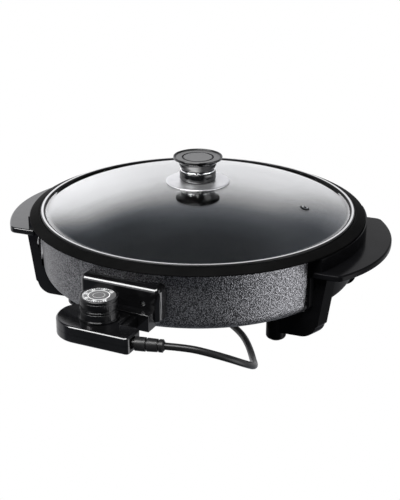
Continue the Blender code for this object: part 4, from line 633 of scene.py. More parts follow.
def turned(
    name, profile, finish, where, *nodes, steps=KNOB_STEPS, matrix=PAN, bends=4, closed=False, **more
):
    """A profile with its corners eased, turned and dressed. where is its body and its slot; the slot is
    not used.
    """
    piece = lathe(name, eased(profile, bends, closed), steps, matrix, closed, **more)
    dress(piece, finish, *where, *nodes)


# Material tools


def node(tree, kind, inputs=None, **settings):
    """A new node with its settings, its inputs linked to sockets or set to values."""
    made = tree.nodes.new(kind)
    for key, value in settings.items():
        setattr(made, key, value)
    for key, value in (inputs or {}).items():
        if isinstance(value, bpy.types.NodeSocket):
            tree.links.new(value, made.inputs[key])
        else:
            made.inputs[key].default_value = value
    return made


def material(name, roughness, metallic=0.0, colour=(0.5, 0.5, 0.5), **sockets):
    """A new material, its tree and the place on the object that its textures read."""
    made = bpy.data.materials.new(name)
    made.use_nodes = True
    tree = made.node_tree
    inputs = tree.nodes["Principled BSDF"].inputs
    inputs["Base Color"].default_value = (*colour, 1)
    inputs["Roughness"].default_value = roughness
    inputs["Metallic"].default_value = metallic
    for key, value in sockets.items():
        inputs[key.replace("_", " ")].default_value = value
    return made, tree, node(tree, "ShaderNodeTexCoord").outputs["Object"]


def maths(tree, operation, *values):
    return node(tree, "ShaderNodeMath", dict(enumerate(values)), operation=operation).outputs[0]


def vectors(tree, operation, *values, output="Vector"):
    made = node(tree, "ShaderNodeVectorMath", dict(enumerate(values)), operation=operation)
    return made.outputs[output]


def noise(tree, place, scale, detail=2.0, rough=0.5):
    inputs = {"Vector": place, "Scale": scale, "Detail": detail, "Roughness": rough}
    return node(tree, "ShaderNodeTexNoise", inputs).outputs["Fac"]


def spread(tree, value, low, high, start=0.3, end=0.7, kind="LINEAR"):
    """A texture's value brought from one span to another."""
    inputs = {"Value": value, "From Min": start, "From Max": end, "To Min": low, "To Max": high}
    return node(tree, "ShaderNodeMapRange", inputs, interpolation_type=kind).outputs["Result"]


def blend(tree, value, *stops):
    """A colour from stops of (position, colour)."""
    ramp = node(tree, "ShaderNodeValToRGB", {"Fac": value})
    elements = ramp.color_ramp.elements
    while len(elements) < len(stops):
        elements.new(0.5)
    for element, (at, colour) in zip(elements, stops):
        element.position = at
        element.color = (*colour, 1)
    return ramp.outputs["Color"]


def around(tree, place):
    """Distance from the pan's axis, for marks that run round it."""
    off = vectors(tree, "SUBTRACT", place, (0, PAN_Y, 0))
    flat = vectors(tree, "MULTIPLY", off, (1, 1, 0))
    return vectors(tree, "LENGTH", flat, output="Value")


def clouded(tree, place, scale, dark, light, low, high, stops=(0.3, 0.75)):
    """Wide soft patches: a colour from dark to light and a roughness from low to high."""
    cloud = noise(tree, place, scale, 4.0, 0.6)
    colour = blend(tree, cloud, (stops[0], dark), (stops[1], light))
    return colour, spread(tree, cloud, low, high)


def finished(made, colour, rough, *layers):
    """Wires in colour, roughness and bumps of (height, depth in metres), each over the one before."""
    tree = made.node_tree
    shader = tree.nodes["Principled BSDF"]
    tree.links.new(colour, shader.inputs["Base Color"])
    tree.links.new(rough, shader.inputs["Roughness"])
    below = {}
    for height, depth in layers:
        inputs = {"Height": height, "Distance": depth, "Strength": 1.0, **below}
        below = {"Normal": node(tree, "ShaderNodeBump", inputs).outputs["Normal"]}
    tree.links.new(below["Normal"], shader.inputs["Normal"])
    return made


def grey(value, tint=0.0):
    return (value, value, value * (1 + tint))


def make_hammertone():
    """Silver-grey paint that pulls into small dimples, with a dark net between them."""
    made, tree, place = material("hammertone", 0.36, 0.9)
    wavy = {"Vector": place, "Scale": 380.0, "Detail": 2.0}
    warp = node(tree, "ShaderNodeTexNoise", wavy).outputs["Color"]
    push = node(tree, "ShaderNodeVectorMath", {0: warp, "Scale": 0.0022}, operation="SCALE").outputs[0]
    cell = {"Vector": vectors(tree, "ADD", place, push), "Scale": 760.0, "Smoothness": 0.6}
    dimple = node(tree, "ShaderNodeTexVoronoi", cell, feature="SMOOTH_F1").outputs["Distance"]
    flake = noise(tree, place, 1900.0, 1.0)
    shade = maths(tree, "MULTIPLY_ADD", flake, 0.35, spread(tree, dimple, 0.0, 1.0, 0.1, 0.75))
    stops = [(at, grey(value, 0.04)) for at, value in ((0.12, 0.46), (0.5, 0.22), (0.95, 0.045))]
    rough = maths(tree, "MULTIPLY_ADD", noise(tree, place, 9.0, 3.0), 0.1, 0.33)
    return finished(made, blend(tree, shade, *stops), rough, (dimple, -0.34 * MM), (flake, 0.02 * MM))


def make_gloss_black(name, low, high, wave=0.012 * MM, ior=1.5):
    """Moulded thermoset: deep black, a little orange peel and faint cloudy wear."""
    made, tree, place = material(name, low, 0.0, grey(0.003), IOR=ior)
    wear = clouded(tree, place, 22.0, grey(0.0016), grey(0.0036, 0.15), low, high)
    fine = noise(tree, place, 420.0, 1.0)
    return finished(made, *wear, (fine, wave), (noise(tree, place, 90.0, 1.0), 4 * wave))


def make_satin():
    """The knob's top: the same moulding rubbed to a grey satin."""
    made, tree, place = material("knob_satin", 0.38, 0.1)
    grain = noise(tree, place, 700.0, 3.0)
    colour = blend(tree, grain, (0.3, grey(0.035)), (0.7, grey(0.07)))
    return finished(made, colour, spread(tree, grain, 0.34, 0.46), (grain, 0.02 * MM))


def make_coating(name, dark, low, high, shine):
    """Black non-stick coat over turned metal: faint rings under a fine orange peel."""
    made, tree, place = material(name, low, 0.0, grey(dark), Specular_IOR_Level=shine)
    ring = maths(tree, "SINE", maths(tree, "MULTIPLY", around(tree, place), TURN / TURNING_PITCH))
    wear = clouded(tree, place, 14.0, grey(dark), grey(2 * dark), low, high)
    return finished(made, *wear, (ring, 0.004 * MM), (noise(tree, place, 900.0, 2.0), 0.02 * MM))


def make_bright(name, low, high, colour, line=0.0):
    """Bright metal with a few smears, polished, or turned with fine lines round the pan's axis."""
    made, tree, place = material(name, low, 1.0, colour)
    dim = tuple(c * 0.86 for c in colour)
    layer = (noise(tree, place, 30.0, 4.0, 0.6), 0.02 * MM)
    if line:
        inputs = {"X": around(tree, place), "Z": vectors(tree, "MULTIPLY", place, (0, 0, 1))}
        rays = node(tree, "ShaderNodeCombineXYZ", inputs).outputs[0]
        layer = (noise(tree, rays, 2600.0, 2.0), line)
    return finished(made, *clouded(tree, place, 30.0, dim, colour, low, high, (0.35, 0.6)), layer)


def make_glass():
    """Clear dome glass with a faint green-grey body and traces of wiping."""
    sockets = {"IOR": 1.6, "Coat_Weight": 1.0, "Coat_Roughness": 0.0, "Transmission_Weight": 1.0}
    made, tree, place = material("lid_glass", 0.0, 0.0, (0.93, 0.96, 0.95), **sockets)
    smear = noise(tree, vectors(tree, "MULTIPLY", place, (1.0, 3.5, 1.0)), 16.0, 5.0, 0.65)
    tint = blend(tree, noise(tree, place, 6.0), (0.3, (0.92, 0.95, 0.94)), (0.7, (0.95, 0.97, 0.96)))
    wave = noise(tree, place, 7.0, 0.0)
    return finished(made, tint, spread(tree, smear, 0.0, 0.008, 0.45, 0.8), (wave, 0.012 * MM))


def make_soft_black(name, low, high, grain, depth, value):
    """Rubber or flexible vinyl: matt, with a fine grain and dusty patches."""
    made, tree, place = material(name, low, 0.0, grey(value), Specular_IOR_Level=0.2)
    dust = clouded(tree, place, 35.0, grey(value * 0.8), grey(value * 1.7, 0.04), low, high)
    return finished(made, *dust, (noise(tree, place, grain, 2.0), depth))


def make_speckled(name, roughness, metallic, dark, light, grain, depth):
    """Plain technical metals, paints and ceramics, with a grain in colour, gloss and relief."""
    made, tree, place = material(name, roughness, metallic)
    fine = noise(tree, place, grain, 3.0, 0.6)
    cloud = spread(tree, noise(tree, place, grain / 18, 3.0), 0.0, 0.5)
    colour = blend(tree, maths(tree, "MULTIPLY_ADD", fine, 0.5, cloud), (0.2, dark), (0.8, light))
    rough = spread(tree, fine, roughness * 0.8, roughness * 1.25)
    return finished(made, colour, rough, (fine, depth))


HAMMERTONE = make_hammertone()
# A copy of the non-stick coat with almost no reflection, a painted shade that keeps the lip and flange
# black; the coat is the same as in the bowl.
SHADED_FLANGE_COAT = make_coating("shaded_flange_coat", 0.002, 0.34, 0.44, 0.003)
INSIDE = make_coating("nonstick", 0.0014, 0.5, 0.6, 0.12)
BAKELITE = make_gloss_black("bakelite", 0.07, 0.14)
# A copy of the bakelite with a weaker reflection for the right handle, a painted shade: both handles are
# the same moulding.
SHADED_BAKELITE = make_gloss_black("shaded_bakelite", 0.12, 0.2, ior=1.1)
CONTROLLER_BLACK = make_gloss_black("controller_black", 0.09, 0.15, 0.014 * MM)
KNOB_BLACK = make_gloss_black("knob_black", 0.05, 0.1)
DIAL_BLACK = make_gloss_black("dial_black", 0.1, 0.16, ior=1.33)
SATIN = make_satin()
DISH_CHROME = make_bright("dish_chrome", 0.36, 0.46, (0.86, 0.86, 0.87), 0.01 * MM)
CHROME = make_bright("chrome", 0.03, 0.09, (0.92, 0.92, 0.93))
RING_STEEL = make_bright("ring_steel", 0.14, 0.24, (0.66, 0.66, 0.66), 0.01 * MM)
SPUN_STEEL = make_bright("spun_steel", 0.26, 0.4, (0.5, 0.5, 0.5), 0.03 * MM)
SCREW_STEEL = make_speckled("screw_steel", 0.26, 1.0, grey(0.42), grey(0.62), 1500.0, 0.01 * MM)
PIN_STEEL = make_speckled("pin_steel", 0.2, 1.0, grey(0.5), grey(0.7), 1200.0, 0.008 * MM)
GLASS = make_glass()
# A matt black used only as painted shade: beside the lid ring's crown, round the vent eyelet's top, and
# along the edges of the knob's face and disc.
PAINTED_SHADE_BLACK = make_soft_black("painted_shade_black", 0.3, 0.4, 1500.0, 0.01 * MM, 0.004)
SEAL_BLACK = make_soft_black("seal_black", 0.4, 0.55, 1600.0, 0.02 * MM, 0.004)
RUBBER = make_soft_black("rubber", 0.42, 0.6, 1300.0, 0.04 * MM, 0.008)
RELIEF_BLACK = make_soft_black("relief_black", 0.3, 0.42, 1400.0, 0.03 * MM, 0.005)
CORD_BLACK = make_soft_black("cord_black", 0.28, 0.4, 1500.0, 0.03 * MM, 0.005)
BRASS = make_speckled("brass", 0.24, 1.0, (0.5, 0.36, 0.15), (0.74, 0.57, 0.27), 900.0, 0.01 * MM)
DIAL_GREY = make_speckled("dial_grey", 0.36, 0.3, grey(0.055), grey(0.09), 1300.0, 0.015 * MM)
PRINT_WHITE = make_speckled("print_white", 0.5, 0.0, grey(0.62), grey(0.78), 1800.0, 0.005 * MM)
CERAMIC = make_speckled("ceramic", 0.55, 0.0, (0.62, 0.59, 0.52), (0.8, 0.77, 0.7), 800.0, 0.03 * MM)
SCALE_DARK, SCALE_LIGHT = (0.1, 0.09, 0.08), (0.3, 0.27, 0.24)
ELEMENT_STEEL = make_speckled("element_steel", 0.42, 1.0, SCALE_DARK, SCALE_LIGHT, 500.0, 0.02 * MM)


# Cord, first of the pieces


def smooth_path(route, per_leg):
    """Points on a Catmull-Rom curve through a route's own points."""
    ends = [Vector(route[0]) * 2 - Vector(route[1]), Vector(route[-1]) * 2 - Vector(route[-2])]
    knots = [ends[0], *[Vector(p) for p in route], ends[1]]
    points = []
    for a, b, c, d in zip(knots, knots[1:], knots[2:], knots[3:]):
        for k in range(per_leg):
            t = k / per_leg
            square = (a * 2 - b * 5 + c * 4 - d) * t**2
            cube = (b * 3 - a - c * 3 + d) * t**3
            points.append((b * 2 + (c - a) * t + square + cube) / 2)
    return [*points, Vector(route[-1])]


def coil_path():
    """A clockwise coil in two layers that spirals in, climbs as it reverses and spirals out."""
    centre = Vector((*COIL_CENTRE, 0))
    count = round(COIL_TURNS * COIL_POINTS_PER_TURN)
    climb_start = (COIL_TURNS - COIL_CLIMB_TURNS) / 2
    points = []
    for i in range(count + 1):
        turn = COIL_TURNS * i / count
        radius = COIL_START_R - COIL_PITCH * min(turn, COIL_TURNS - turn)
        climb = min(max((turn - climb_start) / COIL_CLIMB_TURNS, 0), 1)
        z = CORD_R + FLOOR_GAP + COIL_PITCH * climb**2 * (3 - 2 * climb)
        angle = -math.pi / 2 - TURN * turn
        points.append(centre + Vector((radius * math.cos(angle), radius * math.sin(angle), z)))
    return points


def make_plug():
    """A moulded plug on its side, with grip grooves, a ribbed sleeve and the seats of its contacts."""
    y = COIL_CENTRE[1] + COIL_START_R
    half = PLUG_WIDTH / 2
    face = PLUG_X + PLUG_LENGTH
    body = soften(boxes("plug", [((PLUG_X, y - half, 0), (face, y + half, PLUG_WIDTH))]), PLUG_ROUND, 5)
    along = at(PLUG_X, y, half) @ spun(-math.pi / 2, "Y")
    sleeve = [
        (0, PLUG_RELIEF_LENGTH),
        (PLUG_RELIEF_TIP_R - PLUG_RIB_FOOT, PLUG_RELIEF_LENGTH),
        (PLUG_RELIEF_TIP_R, PLUG_RELIEF_LENGTH - PLUG_RIB_EDGE),
    ]
    rib = [(0, PLUG_RIB_EDGE), (PLUG_RIB_DEPTH, PLUG_RIB_FOOT)]
    rib += [(PLUG_RIB_DEPTH, -PLUG_RIB_FOOT), (0, -PLUG_RIB_EDGE)]
    for i in range(PLUG_RIB_STEPS - 1, 0, -1):
        r = PLUG_RELIEF_R + (PLUG_RELIEF_TIP_R - PLUG_RELIEF_R) * i / PLUG_RIB_STEPS
        sleeve += [(r - inward, PLUG_RELIEF_LENGTH / PLUG_RIB_STEPS * i + up) for inward, up in rib]
    sleeve += [(PLUG_RELIEF_R, 0), (PLUG_RELIEF_R, -OVERRUN), (0, -OVERRUN)]
    combine(body, "UNION", lathe("plug_sleeve", sleeve, SMALL_STEPS, along))
    grooves = []
    for i in range(GRIP_GROOVES):
        x = PLUG_X + GRIP_START + i * GRIP_PITCH
        for side in (-1, 1):
            inner = (x, y + side * (half - GRIP_DEPTH), GRIP_LOW_Z)
            grooves.append((inner, (x + GRIP_WIDTH, y + side * (half + OVERRUN), GRIP_TOP_Z)))
    cut(body, boxes("plug_grooves", grooves))
    low, high = face - BLADE_SEAT - SEAT_GAP, face + OVERRUN
    half_t = BLADE_THICKNESS / 2 + SEAT_GAP
    half_w = BLADE_WIDTH / 2 + SEAT_GAP
    z = half + BLADE_RISE
    seats = [
        ((low, y + pitch - half_t, z - half_w), (high, y + pitch + half_t, z + half_w))
        for pitch in (BLADE_PITCH_HALF, -BLADE_PITCH_HALF)
    ]
    z = half - EARTH_DROP
    earth = rods("plug_earth_seat", EARTH_R + SEAT_GAP, [((low, y, z), (high, y, z))])
    cut(body, boxes("plug_seats", seats), earth)
    return dress(smoothed(body), RUBBER, "controller", "rubber", "plug_body")


def make_cord():
    """The lead, the coil and the tail as one curve, with the plug at its end."""
    lead = smooth_path(LEAD_ROUTE, CORD_POINTS_PER_LEG)
    tail = smooth_path(TAIL_ROUTE, CORD_POINTS_PER_LEG)
    points = lead + coil_path() + tail + [tail[-1] + Vector((CORD_IN_PLUG, 0, 0))]
    curve = bpy.data.curves.new("cord", "CURVE")
    curve.dimensions = "3D"
    curve.bevel_depth = CORD_R
    curve.bevel_resolution = 5
    curve.use_fill_caps = True
    spline = curve.splines.new("POLY")
    spline.points.add(len(points) - 1)
    for point, co in zip(spline.points, points):
        point.co = (*co, 1)
    spline.use_smooth = True
    cord = add("cord", curve)
    dress(cord, CORD_BLACK, "controller", "cord_black", "power_cord", "cord_coil", "cord_tail")
    plug = make_plug()


make_cord()


# Screws and other small turned pieces


def make_screw(name, body, sizes, length, matrix, *nodes):
    """A pan-head screw, its head from z = 0 upwards and a cross recess in it."""
    shank_r, head_r, head = sizes
    profile = [
        (0, head + length),
        (shank_r, head + length, shank_r / 3),
        (shank_r, head),
        (head_r, head),
        (head_r, HEAD_SIDE[0] * head, HEAD_SIDE[1] * head),
        (HEAD_CROWN[0] * head_r, HEAD_CROWN[1] * head, HEAD_CROWN[2] * head_r),
        (0, 0),
    ]
    screw = lathe(name, eased(profile), SMALL_STEPS, matrix)
    reach = head_r * CROSS_SHARE
    w = CROSS_HALF_WIDTH * head_r / SMALL_HEAD_R
    depth = CROSS_DEPTH * head / HEAD_HEIGHT
    bars = [((-x, -y, -OVERRUN), (x, y, depth)) for x, y in ((reach, w), (w, reach))]
    cut(screw, *[boxes(name + "_cross", [bar], matrix) for bar in bars])
    dress(smoothed(screw), SCREW_STEEL, body, "steel", *nodes)


def mirrored_places(x, y):
    return [(x, y), (-x, y), (-x, -y), (x, -y)]


# Pan and base plate


def pan_paint(r, z):
    """Hammered paint on the wall and skirt. The bowl and the ledge take the non-stick coat; the lip, the
    flange and the floor's underside take a copy of it with almost no reflection, a painted shade that
    keeps the flange black.
    """
    outside = r > PAN_SKIRT_R - SKIRT_WALL - WALL_GAP and z < LEDGE_Z - FLANGE_ROOT_DROP
    low = z < CORNER_CENTRE_Z and r > LIP_EDGE_R - OVERRUN
    bowl = r < PAN_INNER_R + WALL_GAP and z > FLOOR_TOP_Z - WALL_GAP
    ledge = r < LEDGE_R + WALL_GAP and z > LEDGE_Z - WALL_GAP
    if bowl or ledge:
        return 2
    return 0 if outside or low else 1


def make_pan():
    """Bowl, ledge, lip, flange, wall and skirt in one turning, with the slot for the element's ends."""
    centre = (PAN_INNER_R - INNER_CORNER_R, FLOOR_TOP_Z + INNER_CORNER_R)
    corner = (CORNER_CENTRE_R, CORNER_CENTRE_Z)
    rings = [(PAN_INNER_R * k / 14, FLOOR_TOP_Z) for k in range(13)]
    profile = (
        rings
        + arc(centre, INNER_CORNER_R, -math.pi / 2, 0, 12)
        + [
            (PAN_INNER_R, LEDGE_Z, LIP_EASE),
            (LEDGE_R, LEDGE_Z, LEDGE_EASE),
            (LEDGE_R, LIP_TOP_Z, LIP_EASE),
            (LEDGE_R + LIP_THICKNESS, LIP_TOP_Z, LIP_EASE),
            (FLANGE_R, FLANGE_TOP_Z - FLANGE_SLOPE, FLANGE_EASE),
            (FLANGE_R, FLANGE_LOW_Z, FLANGE_EASE),
            (PAN_WALL_R + FLANGE_ROOT_WIDTH, LEDGE_Z - FLANGE_ROOT_DROP, ROOT_EASE),
            (PAN_WALL_R, WALL_TOP_Z, WALL_EASE),
            (PAN_WALL_R, 0.5 * (WALL_TOP_Z + CORNER_CENTRE_Z)),
        ]
        + arc(corner, PAN_CORNER_R, 0, -math.pi / 2, 14)
        + [(LIP_EDGE_R, PAN_CLEARANCE, LEDGE_EASE), (LIP_EDGE_R, PAN_CLEARANCE + SKIRT_WALL)]
        + arc(corner, PAN_CORNER_R - SKIRT_WALL, -math.pi / 2, 0, 6)
        + [(PAN_SKIRT_R - SKIRT_WALL, FLOOR_UNDER_Z), (0, FLOOR_UNDER_Z)]
    )
    pan = lathe("pan", eased(profile), FINE_STEPS, PAN, paint=pan_paint)
    low = (-SLOT_HALF, -PAN_SKIRT_R - OVERRUN, PLUG_IN_Z - SLOT_REACH)
    high = (SLOT_HALF, -PAN_SKIRT_R + SKIRT_WALL + OVERRUN, PLUG_IN_Z + SLOT_REACH)
    cut(pan, boxes("pan_slot", [(low, high)], SOCKET))
    dress(pan, [HAMMERTONE, SHADED_FLANGE_COAT, INSIDE], "base", "hammertone", "pan_body")


def make_base_plate():
    """A thin disc with three shallow beads pressed into it, and its middle screw."""
    low = BASE_PLATE_LOW_Z
    profile = [(0, BASE_PLATE_TOP_Z), (BASE_PLATE_R, BASE_PLATE_TOP_Z), (BASE_PLATE_R, low, BEAD_HEIGHT)]
    bead = [(BEAD_HALF, 0), (BEAD_FLAT_HALF, BEAD_HEIGHT)]
    bead += [(-BEAD_FLAT_HALF, BEAD_HEIGHT), (-BEAD_HALF, 0)]
    for r in BASE_BEADS:
        profile += [(r + out, low + up, MM) for out, up in bead]
    profile.append((0, low))
    shape = {"steps": FINE_STEPS, "bends": 3}
    turned("base_disc", profile, SPUN_STEEL, ("base", "base_steel"), "base_plate", **shape)
    seat = at(0, PAN_Y, low - SEAT_GAP - HEAD_HEIGHT)
    make_screw("base_screw", "base", LARGE_SCREW, BASE_SCREW_LENGTH, seat, "base_plate_screw")


make_pan()
make_base_plate()


# Handles


def wing_outline():
    centre_x = HANDLE_REACH - WING_EDGE_R
    inset = WING_HALF_WIDTH - WING_CORNER_R
    inner_r = WING_EDGE_R - WING_CORNER_R
    corner_x = centre_x + math.sqrt(inner_r**2 - inset**2)
    meet = math.atan2(inset, corner_x - centre_x)
    edge = arc((centre_x, 0), WING_EDGE_R, -meet, meet, 48)
    upper = arc((corner_x, inset), WING_CORNER_R, meet, math.pi / 2, 12)[1:]
    lower = [(x, -y) for x, y in reversed(upper)]
    ends = [(WING_ROOT_X, WING_HALF_WIDTH), (WING_ROOT_X, -WING_HALF_WIDTH)]
    return lower + edge + upper + ends


def leg_profile():
    top = WING_TOP_Z - WING_THICKNESS / 2
    slope = (LEG_OUTER_TOP_R - LEG_OUTER_FOOT_R) / (WING_TOP_Z - LEG_BOTTOM_Z)
    outer_top = LEG_OUTER_TOP_R - slope * (WING_TOP_Z - top)
    corner_x = LEG_OUTER_FOOT_R - LEG_CORNER_R
    corner_z = LEG_BOTTOM_Z + LEG_CORNER_R
    outer_low = (LEG_OUTER_FOOT_R + slope * LEG_CORNER_R, corner_z)
    inner_end = math.hypot(FOOT_X, FOOT_Y) + FOOT_R / 4
    gap_r = PAN_CORNER_R + WALL_GAP
    centre = (CORNER_CENTRE_R, CORNER_CENTRE_Z)
    wall = PAN_WALL_R + WALL_GAP
    return (
        [(inner_end, ARM_TOP_Z), (CORNER_CENTRE_R - WALL_GAP, ARM_TOP_Z)]
        + arc(centre, gap_r, -math.pi / 2, 0, 9)[:-1]
        + [(wall, WINDOW_BOTTOM_Z + PAN_CORNER_R / 2)]
        + [(WINDOW_TOP_R, WINDOW_TOP_Z), (wall + 2 * WALL_GAP, top)]
        + [(outer_top, top), outer_low]
        + arc((corner_x, corner_z), LEG_CORNER_R, 0, -math.pi / 2, 10)[1:]
        + [(inner_end, LEG_BOTTOM_Z)]
    )


def riser_profile():
    low = WING_TOP_Z - RISER_DROP
    inner = PAN_WALL_R + WALL_GAP
    plate_in = inner + WALL_GAP
    plate_out = plate_in + WALL_PLATE_THICKNESS
    return [
        (inner, WALL_TOP_Z - WALL_GAP),
        (PAN_WALL_R + FLANGE_ROOT_WIDTH, LEDGE_Z - FLANGE_ROOT_DROP - WALL_GAP),
        (FLANGE_R - FLANGE_ROUND, FLANGE_LOW_Z - WALL_GAP),
        (RISER_R, FLANGE_LOW_Z - WALL_GAP),
        (RISER_R, low),
        (plate_out, low),
        (plate_out, WINDOW_BOTTOM_Z + PAN_CORNER_R / 3),
        (plate_in, WINDOW_BOTTOM_Z),
        (plate_in, low),
        (inner, low),
    ]


def foot_profile():
    top = ARM_TOP_Z - FOOT_TOP_STEP
    points = [(0, top), (FOOT_R, top)]
    points += arc((FOOT_R - FOOT_ROUND, POST_LOW_Z + FOOT_ROUND), FOOT_ROUND, 0, -math.pi / 2, 8)
    points += [
        (PAD_R + SEAT_GAP, POST_LOW_Z),
        (PAD_R + SEAT_GAP, PAD_HEIGHT + SEAT_GAP),
        (0, PAD_HEIGHT + SEAT_GAP),
    ]
    return points


def make_handle_form():
    """One handle for +X: its wing with round edges, the riser, the legs and the foot posts."""
    plain = Matrix.Identity(4)
    handle = slab("handle_right_form", wing_outline(), WING_TOP_Z - WING_THICKNESS, WING_TOP_Z)
    soften(handle, WING_ROUND, 5)
    root_r = PAN_WALL_R + 2 * WALL_GAP
    top = WING_TOP_Z + OVERRUN
    low = WING_TOP_Z - WING_THICKNESS - OVERRUN
    cut(handle, lathe("wing_root", [(0, top), (root_r, top), (root_r, low), (0, low)], FINE_STEPS, plain))
    riser = lathe("riser", riser_profile(), FINE_STEPS, plain, closed=True)
    span = [((0, -RISER_HALF_WIDTH, 0), (HANDLE_REACH, RISER_HALF_WIDTH, LIP_TOP_Z))]
    combine(riser, "INTERSECT", boxes("riser_span", span))
    legs = lathe("legs", leg_profile(), FINE_STEPS, plain, closed=True)
    inner_y = LEG_FRONT_Y - LEG_THICKNESS
    spans = [((0, k * inner_y, 0), (HANDLE_REACH, k * LEG_FRONT_Y, LIP_TOP_Z)) for k in (1, -1)]
    combine(legs, "INTERSECT", boxes("leg_spans", spans))
    soften(legs, LEG_ROUND, 3, 50 * DEG)
    combine(handle, "UNION", riser, legs)
    places = [at(FOOT_X, k * FOOT_Y, 0) for k in (1, -1)]
    combine(handle, "UNION", *[lathe("foot", foot_profile(), FOOT_STEPS, place) for place in places])
    seat = LEG_BOTTOM_Z + HANDLE_SCREW_SEAT
    places = [(HANDLE_SCREW_X, k * HANDLE_SCREW_Y) for k in (1, -1)]
    wells = [((*place, LEG_BOTTOM_Z - OVERRUN), (*place, seat)) for place in places]
    shanks = [((*place, seat - OVERRUN), (*place, ARM_TOP_Z + OVERRUN)) for place in places]
    cut(handle, rods("wells", HEAD_R + 2 * HOLE_GAP, wells), rods("bores", SHANK_R + HOLE_GAP, shanks))
    return smoothed(handle)


def make_handles():
    """Both handles, with their rubber feet and the screws up through their arms."""
    form = make_handle_form()
    # The right handle takes the shaded copy of the bakelite, a painted shade.
    for side, turn, finish in (("right", 0.0, SHADED_BAKELITE), ("left", math.pi, BAKELITE)):
        mesh = form.data.copy()
        mesh.transform(PAN @ spun(turn))
        dress(add(f"handle_{side}_moulding", mesh), finish, "base", "bakelite", "handle_" + side)
    bpy.data.objects.remove(form)
    seat = LEG_BOTTOM_Z + HANDLE_SCREW_SEAT - SEAT_GAP - HEAD_HEIGHT
    pad = [(0, PAD_HEIGHT), (PAD_R, PAD_HEIGHT)]
    pad += [(PAD_R, SCREW_EDGE, PAD_EASE), (PAD_R - SCREW_EDGE, 0, PAD_EASE)]
    for k in PAD_GROOVE_SHARES:
        pad += [(PAD_R * k + PAD_GROOVE, 0), (PAD_R * k, PAD_GROOVE), (PAD_R * k - PAD_GROOVE, 0)]
    pad.append((0, 0))
    feet = mirrored_places(FOOT_X, FOOT_Y)
    screws = mirrored_places(HANDLE_SCREW_X, HANDLE_SCREW_Y)
    for name, foot, place in zip(("back_right", "back_left", "front_left", "front_right"), feet, screws):
        below = {"steps": FOOT_STEPS, "matrix": PAN @ at(*foot, 0)}
        turned("foot_rest_" + name, pad, RUBBER, ("base", "rubber"), "foot_pad_" + name, **below)
        sizes = (LARGE_SCREW, HANDLE_SCREW_LENGTH, PAN @ at(*place, seat))
        make_screw("arm_screw_" + name, "base", *sizes, "handle_screw_" + name)


make_handles()


# Lid


def dome_z(r):
    return GLASS_TOP_Z - DOME_BALL_R + math.sqrt(DOME_BALL_R**2 - r**2)


def channel_profile(outer, inner, low, high, sheet, bend):
    """A sheet channel open towards the axis, its back bent round and its lips rolled."""
    return [
        (inner, high, sheet / 2),
        (inner + 0.22 * (outer - inner), high),
        (outer, high, bend),
        (outer, low, bend / 3),
        (inner, low, sheet / 2),
        (inner, low + sheet),
        (outer - sheet, low + sheet, bend / 3 - sheet / 4),
        (outer - sheet, high - sheet, bend - sheet),
        (inner, high - sheet, sheet / 3),
    ]


def make_lid():
    """The glass dome with its vent hole, the steel ring and the seal round it, and the eyelet."""
    radii = [max(DOME_R * i / DOME_POINTS, GLASS_HOLE_R) for i in range(DOME_POINTS + 1)]
    top = [(r, dome_z(r)) for r in radii]
    low = [(r, z - GLASS_THICKNESS) for r, z in reversed(top)]
    top[-1] = (*top[-1], DOME_EASE)
    low[0] = (*low[0], DOME_EASE)
    edge = [(GLASS_R, GLASS_EDGE_TOP_Z, MM), (GLASS_R, GLASS_EDGE_LOW_Z, MM)]
    glass = lathe("glass_dome", eased(top + edge + low, closed=True), FINE_STEPS, PAN, closed=True)
    vent_z = dome_z(VENT_R)
    normal = Vector((VENT_R, 0, vent_z - (GLASS_TOP_Z - DOME_BALL_R))).normalized()
    vent = Vector((VENT_R, 0, vent_z))
    start = vent - normal * (GLASS_THICKNESS + OVERRUN)
    cut(glass, rods("vent_hole", VENT_HOLE_R, [(start, vent + normal * OVERRUN)], PAN))
    dress(glass, GLASS, "lid", "lid_glass", "glass_lid")

    def crowned(r, z):
        """Steel along the ring's crown; the rest of the ring is painted black, a painted shade of the
        gaps beside it at the glass and at the pan's lip.
        """
        return 0 if z > RIM_TOP_Z - RING_CROWN_DEPTH and abs(r - RING_CROWN_R) < RING_CROWN_HALF else 1

    ring = {"steps": FINE_STEPS, "closed": True}
    rim = channel_profile(LID_RIM_R, LID_RIM_INNER_R, RIM_LOW_Z, RIM_TOP_Z, LID_RIM_SHEET, LID_RIM_BEND)
    finish = [RING_STEEL, PAINTED_SHADE_BLACK]
    turned("steel_ring", rim, finish, ("lid", "steel"), "lid_rim", bends=8, paint=crowned, **ring)
    sheet = (GASKET_LOW_Z, GASKET_TOP_Z, GASKET_SHEET, GASKET_BEND)
    seal = channel_profile(GASKET_OUTER_R, GASKET_INNER_R, *sheet)
    turned("glass_seal", seal, SEAL_BLACK, ("lid", "rubber"), "lid_gasket", bends=3, **ring)

    neck_r = VENT_HOLE_R - HOLE_GAP
    below = -GLASS_THICKNESS - 2 * SEAT_GAP
    profile = [
        (VENT_BORE_R, VENT_HEAD, VENT_BORE_EASE),
        (VENT_BORE_R + VENT_LIP, VENT_HEAD, VENT_LIP_EASE),
        (VENT_HEAD_R, VENT_HEAD / 3, VENT_EASE),
        (VENT_HEAD_R, SEAT_GAP),
        (neck_r, SEAT_GAP),
        (neck_r, below),
        (VENT_HEAD_R, below),
        (VENT_HEAD_R, below - VENT_HEAD / 2, VENT_EASE),
        (VENT_BORE_R, below - VENT_HEAD / 2, VENT_EASE),
    ]
    place = PAN @ at(*vent) @ spun(math.atan2(normal.x, normal.z), "Y")

    def bordered(r, z):
        """Steel on the head's top between the two radii; the bore's wall, the head's outer edge and the
        part under the glass are painted black, a painted shade.
        """
        return 0 if z > 0 and VENT_DARK_R[0] < r < VENT_DARK_R[1] else 1

    head = {"steps": 64, "matrix": place, "closed": True, "paint": bordered}
    turned("vent_eyelet", profile, [CHROME, PAINTED_SHADE_BLACK], ("lid", "steel"), "vent_grommet", **head)


